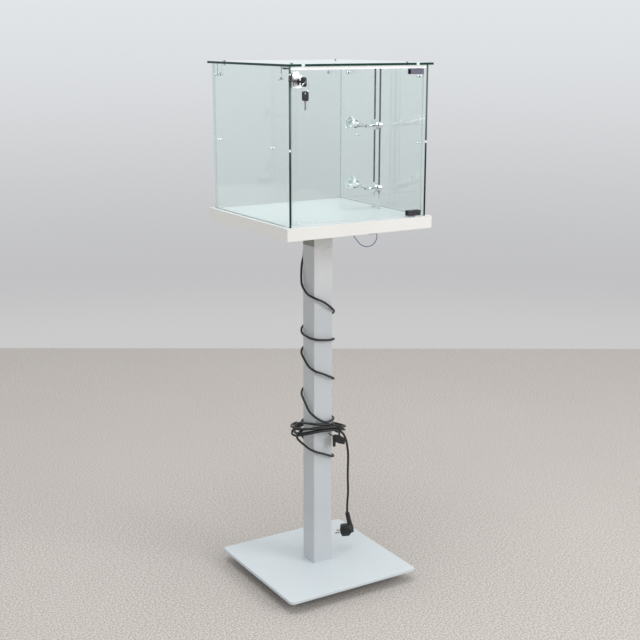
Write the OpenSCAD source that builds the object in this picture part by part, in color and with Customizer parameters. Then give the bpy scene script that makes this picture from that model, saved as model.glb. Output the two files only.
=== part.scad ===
// Pedestal display case: a glass showcase with a locking door, on a square column and a
// castored base. The floor is z = 0, the column stands on the origin and the door faces -Y.

/* [Stand] */
// Width and depth of the base plate
base_w = 410; // [400:1:420]
// Thickness of the base plate
base_t = 8; // [8:1:10]
// Height from the floor to the base plate's underside
castor_h = 32; // [32:1:36]
// Width of the square column
column_w = 60; // [60:1:62]
// Wall of the column
column_wall = 2.5; // [2:0.5:3]
// Height of the tray's underside above the floor
tray_z = 1025; // [1020:1:1030]

/* [Case] */
// Width and depth of the tray
tray_w = 440; // [436:2:446]
// Thickness of the tray
tray_t = 32; // [30:1:32]
// Thickness of the glass
glass_t = 6; // [6:1:6]
// Height of the side panes
pane_h = 391; // [388:1:394]
// Half the width over the side panes
pane_half = 207.5; // [205:0.5:209]
// Half the width of the top pane
top_half = 217; // [214:1:219]

/* [Door] */
// Gap between the door and the left pane
door_gap_left = 3; // [2.5:0.5:4]
// Gap between the door and the right pane
door_gap_right = 7.5; // [6:0.5:8]
// Gap under the door
door_gap_low = 5.5; // [5.5:0.5:6]
// Distance from the column's middle to the hinge line
pivot_x = 179; // [178:1:180]

/* [Lights] */
// Diameter of the two rods
rod_d = 5; // [5:0.5:6]
// Height of the upper spot's clamp
spot_upper_z = 1286; // [1250:1:1300]
// Height of the lower spot's clamp
spot_lower_z = 1115.5; // [1100:0.5:1150]
// Upward tilt of the upper spot
spot_upper_tilt = 11; // [0:1:20]
// Upward tilt of the lower spot
spot_lower_tilt = 23.5; // [0:0.5:30]

/* [Cord] */
// Diameter of the mains cord
cord_d = 6.4; // [6:0.1:6.5]
// Diameter of the low-voltage wire
wire_d = 2.2; // [2:0.1:2.5]

/* [Hidden] */

$fn = 64;
e = 0.01; // overlap that keeps a cut from ending on a face

// heights and inner faces
base_z = castor_h + base_t; // top of the base plate
deck_z = tray_z + tray_t; // top of the tray
pane_z = deck_z + pane_h; // top of the side panes
inner = pane_half - glass_t; // inner face of the side panes

// base corner
base_r = 12;
base_chamfer = 1;

// castors: [name, side x, side y, direction of the trailing wheels]
castor_xy = 128;
castors = [["fl", -1, -1, 225], ["fr", 1, -1, 232], ["bl", -1, 1, 228], ["br", 1, 1, 236]];
mount_w = 38;
mount_t = 2;
mount_screw_xy = 13;
stud_r = 3;
stud_foot_z = 19;
wheel_r = 12.5;
wheel_in = 4.2; // inner face of each wheel, from the castor's middle plane
wheel_out = 11.2;
wheel_trail = 16; // from the swivel's axis to the axle
axle_r = 2;
boss_r = 5.6;
hood_in = 13.6;
hood_out = 15.2;
run = 0.05; // radial clearance of a running fit

// column joints
column_r = 3; // outer corner radius
head_plate_w = 88;
head_plate_t = 4;
head_screw_xy = 37;
foot_block_h = 20;
foot_bolt_xy = 16;
foot_bolt_r = 4;
foot_bolt_head_r = 7.5;

// transformer under the tray
trafo_x = [46, 80];
trafo_y = [-52, 50];
trafo_h = 26;
trafo_lug = 10;
trafo_mid = (trafo_x[0] + trafo_x[1]) / 2;
screw_r = 2.2;
screw_head_r = 4;
screw_in = 14; // length of the screws in the tray

// corner fittings: [x, y, side of the side pane, 1 where a leg also holds the back pane]
fittings = [[-172, -161, -1, 0], [168, -169, 1, 0], [-180, 187, -1, 1], [163, 173, 1, 1]];
fitting_t = 2;
fitting_w = 8;
leg_w = 5;
leg_z = pane_z - 29; // centre of each clamping screw
clamp_r = 5.3;
glass_hole_r = 2.6;
fitting_screw_r = 2;

// shelf pins: [side, y]
pins = [[-1, 178], [-1, -118], [1, -176], [1, 120]];
pin_z = deck_z + 190;
pin_r = 2.6;
pin_out = 2.5;

// door
door_x = [-inner + door_gap_left, inner - door_gap_right];
door_z = [deck_z + door_gap_low, pane_z - 11.5];
door_y = [-pane_half, -inner];
strip_h = 8;
strip_d = 10;
clamp_half_w = 20;
clamp_mid_x = 170;
clamp_h = 14;
clamp_t = 4;
clamp_web = 2.5;
pivot_y = -202.5;
pivot_r = 2;
bush_r = 3.5;

// lock, on the door's upper left corner
lock_x = -187;
lock_z = 1413;
lock_back_x = [-200, -174];
lock_back_z = [1397, 1428];
lock_tab = [-183, 1436]; // right side and top of the narrow tab above the lock's back plate
lock_face_x = [-203, -176];
lock_face_y = [-218, -210];
barrel_r = 10;
barrel_y = -226.5;
plug_r = 8;
plug_y = [-227.5, -197.4];
cam_y = [-197.2, -195.2];
cam_reach = 13.3;
keeper_z = [1412, 1431];

// keys
bow_l = 23; // along the key
bow_w = 22.5;
bow_t = 3;
blade_l = 22;
blade_w = 5.5;
blade_t = 2;
key_hole_r = 3.25;
key_hole_in = 4.8; // from the end of the bow to the hole's middle
key_y = -256; // end of the key that is in the lock
ring_r = 11;
ring_wire_r = 0.7;
ring_turn = 10; // turn of the ring and of the spare key's hole out of the door's plane
ring_z = lock_z - key_hole_r + ring_wire_r + 0.35 - ring_r;
spare_hole_z = ring_z - ring_r + ring_wire_r + 0.6 - key_hole_r;

// light rods and spots
rod_x = 175;
rod_y = [-36.5, -11.5];
rod_mid_y = -24;
rod_z = [1006, pane_z - 2];
disc_x = [163, 170];
disc_r = 14.3;
clamp_x = [170, 180];
clamp_end_r = 12.5; // round ends of the block that rides on the rods
clamp_drop = 1.5; // the block's middle, the arm and the knuckle lie this far under the disc's
arm_drop = 2.5;
knuckle_drop = 4;
knuckle_x = 141;
arm_r = 3.75;
knob_x = [180.4, 188];
knob_r = 7.5;
lamp_at = 34; // from the knuckle to the lamp's foot

// mains cord: points of the lead from the transformer to the column
wrap_half = 40; // from the column's middle to the cord, square to a face
wrap_arc = 14; // centre of the cord's bend round each corner
wrap_r = wrap_half - wrap_arc;
relief_y = trafo_y[1] + 25;
lead_route = [
    [63, relief_y, 1011], [62, 85, 1010], [58.5, 96, 1006], [51, 105, 998], [41, 108, 987],
    [29, 105, 975], [18, 96, 966], [9, 84, 960], [0, 70, 954], [-9, 57, 947], [-16.5, 46.5, 938]
];
// turns round the column: [turned angle, height, slack]
turns = [
    [100, 934, 0], [120, 928, 0], [135, 900, 0], [145, 870, 0], [155, 855, 0], [180, 840, 0],
    [225, 827, 0], [270, 810, 0], [315, 784, 0], [360, 765, 0], [450, 742, 0], [489, 730.3, 0],
    [523, 716.2, 0], [554, 713.8, 0], [630, 705, 0], [675, 702, 0], [720, 695, 0],
    [817, 678.8, 0], [861, 662.4, 0], [900, 641.5, 0], [945, 621, 0], [990, 606, 0],
    [1035, 589, 0], [1080, 577, 0], [1180, 558.5, 0], [1231, 537, 0], [1252, 524, 0],
    [1305, 489, 0], [1350, 467.4, 0], [1395, 469, 0], [1440, 470, 0], [1530, 462, 0],
    [1571, 456.4, 0], [1601, 455.4, 0], [1621, 460.1, 0], [1665, 465, 0], [1710, 460.2, 0],
    [1755, 455, 0],
    [1800, 446, 0], [1845, 436, 0], [1875, 428, 4], [1905, 420, 11], [1935, 412.5, 14],
    [1965, 404, 11], [1995, 394, 4], [2025, 385, 0], [2070, 372, 0], [2115, 358, 0],
    [2150, 356, 0], [2205, 362, 0]
];
turn_step = 15;
first_turn = 120;
last_turn = 2190;
// way from the last turn to the hank
join_route = [
    [30, 39, 364], [13.7, 52.5, 372], [-3, 62, 384], [-12.6, 67.5, 399], [-16.6, 68.4, 416],
    [-22, 65.5, 430.5], [-30.5, 60, 441]
];

// hank: oval loops that spiral in through the upper layer and out through the lower one
hank_mid = [8, 5];
hank_half = [73, 45.2];
hank_start = 126;
hank_turns = 3.4556;
hank_pitch = 7.2;
hank_layer = 3.6; // half the distance between the two layers
hank_rings = 83;

// drop from the hank to the plug
plug_tip = [95.8, -10, 164];
plug_lean = 13;
plug_x = [-4, 28]; // back and face of the plug's body
plug_z = -53;
plug_body_r = 18.8;
plug_pin_r = 2.4;
pin_l = 19;
pin_y = 9.5;
strap_at = [39.6, -43.5];
strap_y = [-55.5, -52.8];
plug_turn = 134;
drop_route = [
    [50, -46.5, 432], [62, -43, 419], [72, -38, 401], [80, -33, 378], [86, -28, 350],
    [89, -23, 318], [91, -19, 285], [94, -16, 255], [96, -13.5, 226], [95.5, -11, 195], plug_tip
];

// low-voltage wire from the transformer to the rods
wire_route = [
    [80, -24, 1012], [86, -24, 1009.5], [91, -24, 1002], [96, -24, 993.5], [101, -24, 986],
    [107, -24, 977.5], [114, -24, 969], [126, -24, 957.5], [140, -24, 951.5], [154, -24, 951],
    [166, -24, 955], [174, -24, 963], [178.5, -24, 973], [178, -24, 982], [173, -24, 986.5],
    [168, -24, 987], [160, -24, 987], [152, -24, 987], [145.5, -24, 989.5], [142.5, -24, 994.5],
    [142.5, -24, 1001], [146.5, -24, 1007], [154, -24, 1010], [161, -24, 1010], [168, -24, 1010]
];

// colours
grey_paint = [0.76, 0.78, 0.80];
white_board = [0.92, 0.92, 0.90];
chrome = [0.80, 0.80, 0.82];
steel = [0.62, 0.63, 0.64];
black = [0.09, 0.09, 0.10];
clear = [0.72, 0.86, 0.84, 0.45];

// ---------- curves ----------

// value on a smooth curve between a and b, whose slopes there are given
function ease(t, a, b, slope_a, slope_b) =
    a * (2 * t * t * t - 3 * t * t + 1) + slope_a * (t * t * t - 2 * t * t + t)
    + b * (3 * t * t - 2 * t * t * t) + slope_b * (t * t * t - t * t);

// smooth curve through a list of points, with a number of steps for each gap; the points
// before and after it, where given, set the slope of its ends
function through(p, steps, before = undef, after = undef) = [
    for (i = [0 : len(p) - 2])
        let (
            last = i == 0 ? (is_undef(before) ? p[0] : before) : p[i - 1],
            next = i == len(p) - 2 ? (is_undef(after) ? p[i + 1] : after) : p[i + 2]
        )
        for (k = [0 : steps - 1])
            ease(k / steps, p[i], p[i + 1], (p[i + 1] - last) / 2, (next - p[i]) / 2),
    p[len(p) - 1]
];

function unit(v) = v / norm(v);
function flow(p, i) = unit(p[min(i + 1, len(p) - 1)] - p[max(i - 1, 0)]);

// rings of a round tube along points; side is a direction that the tube never runs along
function rings(p, first, last, r, sides, side) = [
    for (i = [first : last])
        let (
            t = flow(p, i),
            u = unit(cross(side, t)),
            v = cross(t, u)
        )
        for (k = [0 : sides - 1])
            p[i] + r * (cos(360 * k / sides) * u + sin(360 * k / sides) * v)
];

// tube along the points from first to last; the others only set the slope of its two ends
module tube(p, first, last, d, sides, side) {
    gaps = last - first;
    walls = [
        for (i = [0 : gaps - 1], k = [0 : sides - 1])
            let (
                a = i * sides + k,
                b = i * sides + (k + 1) % sides
            )
            each [[a, a + sides, b + sides], [a, b + sides, b]]
    ];
    far = gaps * sides;
    start = [for (k = [1 : sides - 2]) [0, k, k + 1]];
    end = [for (k = [1 : sides - 2]) [far, far + k + 1, far + k]];
    polyhedron(rings(p, first, last, d / 2, sides, side), concat(walls, start, end));
}

// row of the turns table that holds an angle
function row(a, i = 0) = i == len(turns) - 2 || a <= turns[i + 1][0] ? i : row(a, i + 1);
function rise(i, c) =
    let (
        low = max(i - 1, 0),
        high = min(i + 1, len(turns) - 1)
    )
    (turns[high][c] - turns[low][c]) / (turns[high][0] - turns[low][0]);
// height (c = 1) or slack (c = 2) of the cord at a turned angle
function turned(a, c) =
    let (
        i = row(a),
        span = turns[i + 1][0] - turns[i][0]
    )
    ease((a - turns[i][0]) / span, turns[i][c], turns[i + 1][c], rise(i, c) * span,
        rise(i + 1, c) * span);

// distance from the column's axis to a cord bent round its corners
function reach(a) =
    let (
        high = max(abs(cos(a)), abs(sin(a))),
        low = min(abs(cos(a)), abs(sin(a))),
        b = wrap_arc * (high + low)
    )
    low * wrap_half <= high * wrap_arc ? wrap_half / high
        : b + sqrt(b * b + wrap_r * wrap_r - 2 * wrap_arc * wrap_arc);
function wrap_point(a) =
    let (out = reach(a) + turned(a, 2))
    [out * cos(a), out * sin(a), turned(a, 1)];

function smooth(t) = let (c = max(0, min(1, t))) c * c * (3 - 2 * c);
// point of the hank, t turns from its start
function hank_point(t) =
    let (
        a = hank_start + 360 * t,
        out = hank_pitch * abs(t - hank_turns / 2),
        layer = 1 - 2 * smooth((t - hank_turns / 2 + 0.25) * 2),
        fan = pow(cos(a), 2) * (6 - 3 * cos(a)) * (1 - 2 * t / hank_turns),
        level = 437.75 - 8 * cos(a) - 5.5 * sin(a) - 5.75 * cos(2 * a)
    )
    [
        hank_mid[0] + (hank_half[0] + out) * cos(a),
        hank_mid[1] + (hank_half[1] + out) * sin(a),
        level + hank_layer * layer + fan
    ];

function all_but_last(p) = [for (i = [0 : len(p) - 2]) p[i]];
function all_but_first(p) = [for (i = [1 : len(p) - 1]) p[i]];

wrap_points = concat(
    all_but_last(through(concat(lead_route, [wrap_point(first_turn)]), 2,
        after = wrap_point(first_turn + turn_step))),
    [for (a = [first_turn : turn_step : last_turn]) wrap_point(a)]
);
join_points = through(concat([wrap_point(last_turn)], join_route, [hank_point(0)]), 2,
    wrap_point(last_turn - 1.5 * turn_step), hank_point(hank_turns / hank_rings));
hank_points = [for (k = [0 : hank_rings]) hank_point(hank_turns * k / hank_rings)];
drop_points = through(concat([hank_point(hank_turns)], drop_route), 2,
    hank_point(hank_turns * (1 - 1 / hank_rings)));
cord_points = concat(wrap_points, all_but_last(all_but_first(join_points)), hank_points,
    all_but_first(drop_points));
wrap_last = len(wrap_points) - 1;
cord_last = len(cord_points) - 1;
hank_last = cord_last - len(drop_points) + 1;

// distance of a point from the line between two others
function from_line(p, a, b) =
    let (t = (p - a) * (b - a) / ((b - a) * (b - a)))
    norm(p - a - max(0, min(1, t)) * (b - a));
// least gap of a cord to the rest of itself, past the points next to it
function least_gap(p, d) =
    min([for (i = [0 : len(p) - 1], j = [0 : len(p) - 2])
        if (j - i > 4 || i - j > 5) from_line(p[i], p[j], p[j + 1])]) - d;
function length_of(p) = norm_sum([for (i = [1 : len(p) - 1]) norm(p[i] - p[i - 1])]);
function norm_sum(v) = [for (v = v) 1] * v;

// ---------- shapes ----------

module rounded(w, r) {
    square([w, w - 2 * r], center = true);
    square([w - 2 * r, w], center = true);
    for (x = [-1, 1], y = [-1, 1])
        translate([x * (w / 2 - r), y * (w / 2 - r)]) circle(r);
}

// cylinder along Y, from y0 to y1
module along_y(x, y0, y1, z, r) {
    translate([x, y0, z]) rotate([-90, 0, 0]) cylinder(h = y1 - y0, r = r);
}

// cylinder along X, from x0 to x1
module along_x(x0, x1, y, z, r) {
    translate([x0, y, z]) rotate([0, 90, 0]) cylinder(h = x1 - x0, r = r);
}

// box from one corner to the other
module block(low, high) {
    translate(low) cube(high - low);
}

// ---------- base and castors ----------

module at_castor(c) {
    translate([c[1] * castor_xy, c[2] * castor_xy, 0]) rotate([0, 0, c[3]]) children();
}

module mount_screw_places() {
    for (c = castors, x = [-1, 1], y = [-1, 1])
        translate([c[1] * castor_xy + x * mount_screw_xy, c[2] * castor_xy + y * mount_screw_xy, 0])
            children();
}

module foot_bolt_places() {
    for (x = [-1, 1], y = [-1, 1])
        translate([x * foot_bolt_xy, y * foot_bolt_xy, 0]) children();
}

module foot_bolt() {
    translate([0, 0, castor_h]) cylinder(h = 4, r1 = foot_bolt_head_r, r2 = foot_bolt_r);
    translate([0, 0, castor_h]) cylinder(h = base_t + 18, r = foot_bolt_r);
}

module base_plate() {
    color(grey_paint)
        difference() {
            hull() {
                translate([0, 0, castor_h])
                    linear_extrude(base_t - base_chamfer) rounded(base_w, base_r);
                translate([0, 0, castor_h])
                    linear_extrude(base_t)
                        rounded(base_w - 2 * base_chamfer, base_r - base_chamfer);
            }
            foot_bolt_places() foot_bolt();
            foot_bolt_places()
                translate([0, 0, castor_h - 1]) cylinder(h = 1 + e, r = foot_bolt_head_r);
            mount_screw_places()
                translate([0, 0, castor_h - 1]) cylinder(h = 7, r = screw_r - 0.2);
        }
}

module castor_mounts() {
    color(steel)
        for (c = castors)
            translate([c[1] * castor_xy, c[2] * castor_xy, 0]) {
                difference() {
                    translate([-mount_w / 2, -mount_w / 2, castor_h - mount_t])
                        cube([mount_w, mount_w, mount_t]);
                    for (x = [-1, 1], y = [-1, 1])
                        translate([x * mount_screw_xy, y * mount_screw_xy, castor_h - mount_t - e])
                            cylinder(h = mount_t + 2 * e, r1 = 3.6, r2 = screw_r - 0.2);
                }
                translate([0, 0, stud_foot_z])
                    cylinder(h = castor_h - mount_t - stud_foot_z + 1, r = stud_r);
            }
}

module castor_screws() {
    color(steel)
        mount_screw_places() {
            translate([0, 0, castor_h - mount_t])
                cylinder(h = mount_t, r1 = 3.6, r2 = screw_r - 0.2);
            translate([0, 0, castor_h - mount_t]) cylinder(h = mount_t + 5, r = screw_r - 0.2);
        }
}

module castor_fork(c) {
    color(black)
        at_castor(c)
            difference() {
                union() {
                    translate([0, 0, 17]) cylinder(h = 12.6, r = boss_r);
                    translate([0, 3.5, 0])
                        rotate([90, 0, 0])
                            linear_extrude(7)
                                polygon([[-2, 17], [-2, 27], [16, 27], [22, 20], [20, 8], [12, 8]]);
                    intersection() {
                        translate([wheel_trail, 12, wheel_r])
                            rotate([90, 0, 0])
                                linear_extrude(24)
                                    difference() {
                                        circle(hood_out);
                                        circle(hood_in);
                                    }
                        block([0.5, -13, wheel_r - 3], [40, 13, 30]);
                    }
                    along_y(wheel_trail, -wheel_out - 0.6, wheel_out + 0.6, wheel_r, axle_r);
                }
                translate([0, 0, stud_foot_z - 0.5]) cylinder(h = 20, r = stud_r + run);
            }
}

module castor_wheels(c) {
    color(black)
        at_castor(c)
            for (s = [-1, 1])
                translate([wheel_trail, 0, wheel_r])
                    rotate([-90 * s, 0, 0])
                        rotate_extrude()
                            polygon([
                                [axle_r + run, wheel_in], [wheel_r - 0.8, wheel_in],
                                [wheel_r, wheel_in + 0.8], [wheel_r, wheel_out - 0.8],
                                [wheel_r - 0.8, wheel_out], [9, wheel_out], [8, wheel_out - 1],
                                [4.5, wheel_out - 1], [4, wheel_out], [axle_r + run, wheel_out]
                            ]);
}

// ---------- column ----------

module column() {
    color(grey_paint)
        translate([0, 0, base_z])
            linear_extrude(tray_z - head_plate_t - base_z)
                difference() {
                    rounded(column_w, column_r);
                    square(column_w - 2 * column_wall, center = true);
                }
}

module column_foot_block() {
    block_w = column_w - 2 * column_wall;
    color(steel)
        difference() {
            translate([-block_w / 2, -block_w / 2, base_z])
                cube([block_w, block_w, foot_block_h]);
            foot_bolt_places() foot_bolt();
        }
}

module column_foot_bolts() {
    color(steel)
        foot_bolt_places()
            difference() {
                foot_bolt();
                translate([0, 0, castor_h - e]) cylinder(h = 2.5, r = 2.9, $fn = 6);
            }
}

// where the screws go up into the tray: [x, y, thickness that each holds]
tray_screw_places = [
    for (x = [-1, 1], y = [-1, 1]) [x * head_screw_xy, y * head_screw_xy, head_plate_t],
    [trafo_mid, trafo_y[0] - trafo_lug / 2, 3],
    [trafo_mid, trafo_y[1] + trafo_lug / 2, 3]
];

module column_head_plate() {
    color(steel)
        difference() {
            translate([-head_plate_w / 2, -head_plate_w / 2, tray_z - head_plate_t])
                cube([head_plate_w, head_plate_w, head_plate_t]);
            for (p = tray_screw_places)
                translate([p[0], p[1], tray_z - 10]) cylinder(h = 12, r = screw_r);
        }
}

module tray_screws() {
    color(steel)
        for (p = tray_screw_places)
            translate([p[0], p[1], tray_z - p[2] - 2.2]) {
                cylinder(h = 2.2, r = screw_head_r);
                cylinder(h = 2.2 + p[2] + screw_in, r = screw_r);
            }
}

// ---------- tray ----------

module tray() {
    color(white_board)
        difference() {
            translate([-tray_w / 2, -tray_w / 2, tray_z]) cube([tray_w, tray_w, tray_t]);
            for (y = rod_y)
                translate([rod_x, y, tray_z - 1]) cylinder(h = tray_t + 2, r = rod_d / 2 + 0.5);
            for (p = tray_screw_places)
                translate([p[0], p[1], tray_z - e]) cylinder(h = screw_in + e, r = screw_r);
            translate([pivot_x, pivot_y, deck_z - 6]) cylinder(h = 7, r = bush_r);
        }
}

module tray_pad() {
    color([0.85, 0.88, 0.88])
        translate([-157, -166, deck_z]) cylinder(h = 2.5, r1 = 5, r2 = 4);
}

// ---------- fixed glass ----------

module side_pane(side) {
    color(clear)
        difference() {
            translate([side * (pane_half - glass_t / 2) - glass_t / 2, -pane_half, deck_z])
                cube([glass_t, 2 * pane_half, pane_h]);
            for (f = fittings)
                if (f[2] == side)
                    along_x(side * pane_half - 9, side * pane_half + 9, f[1], leg_z, glass_hole_r);
            for (p = pins)
                if (p[0] == side)
                    along_x(side * pane_half - 9, side * pane_half + 9, p[1], pin_z, glass_hole_r);
        }
}

module glass_back() {
    color(clear)
        difference() {
            block([-inner, inner, deck_z], [inner, pane_half, pane_z]);
            for (f = fittings)
                if (f[3] == 1)
                    along_y(f[0], inner - 1, pane_half + 1, leg_z, glass_hole_r);
        }
}

module glass_top() {
    color(clear)
        difference() {
            translate([-top_half, -top_half, pane_z])
                cube([2 * top_half, 2 * top_half, glass_t]);
            for (f = fittings)
                translate([f[0], f[1], pane_z - 1]) cylinder(h = glass_t + 2, r = glass_hole_r);
        }
}

// ---------- corner fittings ----------

module side_leg(f) {
    face = f[2] * inner;
    thick = f[2] * fitting_t;
    arm = [min(f[0], face), max(f[0], face)];
    translate([arm[0], f[1] - fitting_w / 2, pane_z - fitting_t])
        cube([arm[1] - arm[0], fitting_w, fitting_t]);
    translate([min(face, face - thick), f[1] - leg_w / 2, leg_z])
        cube([fitting_t, leg_w, pane_z - leg_z]);
    along_x(min(face, face - thick), max(face, face - thick), f[1], leg_z, clamp_r);
}

module back_leg(f) {
    block([f[0] - fitting_w / 2, f[1], pane_z - fitting_t], [f[0] + fitting_w / 2, inner, pane_z]);
    block([f[0] - leg_w / 2, inner - fitting_t, leg_z], [f[0] + leg_w / 2, inner, pane_z]);
    along_y(f[0], inner - fitting_t, inner, leg_z, clamp_r);
}

module corner_brackets() {
    color(chrome)
        for (f = fittings)
            difference() {
                union() {
                    side_leg(f);
                    if (f[3] == 1) back_leg(f);
                    translate([f[0], f[1], pane_z - 5]) cylinder(h = 5, r = 6);
                }
                translate([f[0], f[1], pane_z - 6]) cylinder(h = 7, r = fitting_screw_r);
                along_x(f[0] - 60, f[0] + 60, f[1], leg_z, fitting_screw_r);
                if (f[3] == 1) along_y(f[0], inner - 9, inner + 1, leg_z, fitting_screw_r);
            }
}

// cap screw that starts at the origin and runs down, with its head above
module cap_screw(grip) {
    cylinder(h = 1.6, r = clamp_r);
    translate([0, 0, 1.6]) cylinder(h = 1.2, r1 = clamp_r, r2 = clamp_r - 1.6);
    translate([0, 0, -grip]) cylinder(h = grip, r = fitting_screw_r);
}

module bracket_screws() {
    color(chrome)
        for (f = fittings) {
            translate([f[0], f[1], pane_z + glass_t]) cap_screw(glass_t + 5);
            translate([f[2] * pane_half, f[1], leg_z])
                rotate([0, 90 * f[2], 0]) cap_screw(glass_t + fitting_t);
            if (f[3] == 1)
                translate([f[0], pane_half, leg_z])
                    rotate([-90, 0, 0]) cap_screw(glass_t + fitting_t);
        }
}

module shelf_pins() {
    color(chrome)
        for (p = pins)
            translate([p[0] * inner, p[1], pin_z])
                rotate([0, -90 * p[0], 0]) {
                    cylinder(h = pin_out, r = pin_r);
                    translate([0, 0, -glass_t]) cylinder(h = glass_t, r = glass_hole_r - 0.05);
                    translate([0, 0, -glass_t - 1]) cylinder(h = 1, r = pin_r + 0.8);
                }
}

// ---------- over the door ----------

module head_strip() {
    color("white")
        difference() {
            block([-inner, -pane_half, pane_z - strip_h], [inner, -pane_half + strip_d, pane_z]);
            translate([pivot_x, pivot_y, pane_z - strip_h - 1]) cylinder(h = 7, r = bush_r);
        }
}

module head_buffer() {
    color(black)
        block([-inner, -189, pane_z - 7], [-inner + 6, -169, pane_z - 3]);
}

// ---------- door ----------

module glass_door() {
    color(clear)
        difference() {
            block([door_x[0], door_y[0], door_z[0]], [door_x[1], door_y[1], door_z[1]]);
            along_y(lock_x, door_y[0] - 1, door_y[1] + 1, lock_z, 9.8);
        }
}

// clamp over an edge of the door; dir is 1 for the upper edge and -1 for the lower
module hinge_clamp(edge_z, dir) {
    far_z = edge_z + dir * clamp_web;
    low = min(far_z, far_z - dir * clamp_h);
    x = [clamp_mid_x - clamp_half_w, clamp_mid_x + clamp_half_w];
    color(chrome)
        difference() {
            union() {
                block([x[0], door_y[0] - clamp_t, low], [x[1], door_y[0], low + clamp_h]);
                block([x[0], door_y[1], low], [x[1], door_y[1] + clamp_t, low + clamp_h]);
                block([x[0], door_y[0] - clamp_t, min(edge_z, far_z)],
                    [x[1], door_y[1] + clamp_t, max(edge_z, far_z)]);
            }
            translate([pivot_x, pivot_y, min(edge_z, far_z) - 1])
                cylinder(h = clamp_web + 2, r = pivot_r);
            for (s = [-1, 1])
                along_y(clamp_mid_x + 12 * s, door_y[1] - e, door_y[1] + clamp_t + 1,
                    edge_z - dir * 5.5, 2);
        }
}

module hinge_screws() {
    color(steel)
        for (s = [-1, 1], edge = [[door_z[1], 1], [door_z[0], -1]])
            difference() {
                along_y(clamp_mid_x + 12 * s, door_y[1], door_y[1] + clamp_t - 0.5,
                    edge[0] - edge[1] * 5.5, 2);
                translate([clamp_mid_x + 12 * s, door_y[1] + 1.5, edge[0] - edge[1] * 5.5])
                    rotate([-90, 0, 0]) cylinder(h = 4, r = 1.1, $fn = 6);
            }
}

module hinge_pins() {
    color(steel) {
        translate([pivot_x, pivot_y, door_z[1]]) cylinder(h = clamp_web + 6.2, r = pivot_r);
        translate([pivot_x, pivot_y, deck_z - 4.5])
            cylinder(h = door_z[0] - deck_z + 4.5, r = pivot_r);
    }
}

module hinge_bushes() {
    color([0.9, 0.9, 0.88]) {
        difference() {
            translate([pivot_x, pivot_y, pane_z - strip_h]) cylinder(h = 6, r = bush_r);
            translate([pivot_x, pivot_y, pane_z - strip_h - 1]) cylinder(h = 8, r = pivot_r + run);
        }
        difference() {
            union() {
                translate([pivot_x, pivot_y, deck_z - 6]) cylinder(h = 6 + e, r = bush_r);
                translate([pivot_x, pivot_y, deck_z]) cylinder(h = 2.7, r = 7);
            }
            translate([pivot_x, pivot_y, deck_z - 5]) cylinder(h = 9, r = pivot_r + run);
        }
    }
}

// ---------- lock and keys ----------

module lock_case() {
    color(chrome)
        difference() {
            union() {
                block([lock_back_x[0], lock_face_y[1] - 3, lock_back_z[0]],
                    [lock_back_x[1], door_y[0], lock_back_z[1]]);
                block([lock_back_x[0], lock_face_y[1] - 3, lock_back_z[0]],
                    [lock_tab[0], door_y[0], lock_tab[1]]);
                block([lock_face_x[0], lock_face_y[0], lock_back_z[0] + 1],
                    [lock_face_x[1], lock_face_y[1], lock_back_z[1]]);
                block([lock_x - 9.5, door_y[1], lock_back_z[0]],
                    [lock_back_x[1], door_y[1] + 2.5, lock_back_z[1] + 4]);
                along_y(lock_x, barrel_y, lock_face_y[0] + 1, lock_z, barrel_r);
                along_y(lock_x, door_y[0] - 1, door_y[1] + 1, lock_z, 9.6);
            }
            along_y(lock_x, barrel_y - 1, door_y[1] + 4, lock_z, plug_r + run);
        }
}

module lock_plug() {
    color(chrome)
        difference() {
            union() {
                along_y(lock_x, plug_y[0], plug_y[1], lock_z, plug_r);
                along_y(lock_x, plug_y[1] - 1, cam_y[1], lock_z, 4);
            }
            translate([lock_x - 1.15, plug_y[0] - 1, lock_z - 3.05]) cube([2.3, 19, 6.1]);
        }
}

module lock_cam() {
    color(steel)
        difference() {
            union() {
                along_y(lock_x, cam_y[0], cam_y[1], lock_z, 6.5);
                block([lock_x - 5, cam_y[0], lock_z - cam_reach],
                    [lock_x + 5, cam_y[1], lock_z]);
            }
            along_y(lock_x, cam_y[0] - 1, cam_y[1] + 1, lock_z, 4);
        }
}

module lock_keeper() {
    color(chrome) {
        block([-pane_half - 1.8, -pane_half - 2, keeper_z[0]],
            [-pane_half, -pane_half + 10, keeper_z[1]]);
        block([-pane_half - 1.8, -pane_half - 2, keeper_z[0]],
            [-inner + 1, -pane_half, keeper_z[1]]);
        block([-inner, -pane_half - 2, keeper_z[0]], [-inner + 1, -pane_half + 10, keeper_z[1]]);
        block([-inner, -pane_half + 8, keeper_z[0]], [-inner + 4, -pane_half + 10, keeper_z[1]]);
    }
}

// key that lies along +X from its bow, in the XZ plane
module key_blank() {
    difference() {
        translate([0, bow_t / 2, 0])
            rotate([90, 0, 0])
                linear_extrude(bow_t)
                    union() {
                        translate([4, -bow_w / 2]) square([bow_l - 7, bow_w]);
                        translate([0, -bow_w / 2 + 4]) square([bow_l, bow_w - 8]);
                        for (y = [-1, 1]) {
                            translate([4, y * (bow_w / 2 - 4)]) circle(4);
                            translate([bow_l - 4, y * (bow_w / 2 - 4)]) circle(4);
                        }
                    }
        along_y(key_hole_in, -bow_t, bow_t, 0, key_hole_r);
    }
    difference() {
        translate([bow_l - 1, -blade_t / 2, -blade_w / 2]) cube([blade_l + 1, blade_t, blade_w]);
        for (k = [0 : 3])
            translate([bow_l + 6 + 4.2 * k, -blade_t, -blade_w / 2])
                rotate([0, 45, 0]) cube([1.8 + 0.4 * (k % 2), 2 * blade_t, 1.8 + 0.4 * (k % 2)]);
    }
}

module key() {
    color(black)
        translate([lock_x, key_y, lock_z]) rotate([0, 0, 90]) key_blank();
}

module key_ring() {
    color(chrome)
        translate([lock_x, key_y + key_hole_in, ring_z])
            rotate([90, 0, ring_turn])
                rotate_extrude() translate([ring_r, 0]) circle(ring_wire_r, $fn = 24);
}

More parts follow.
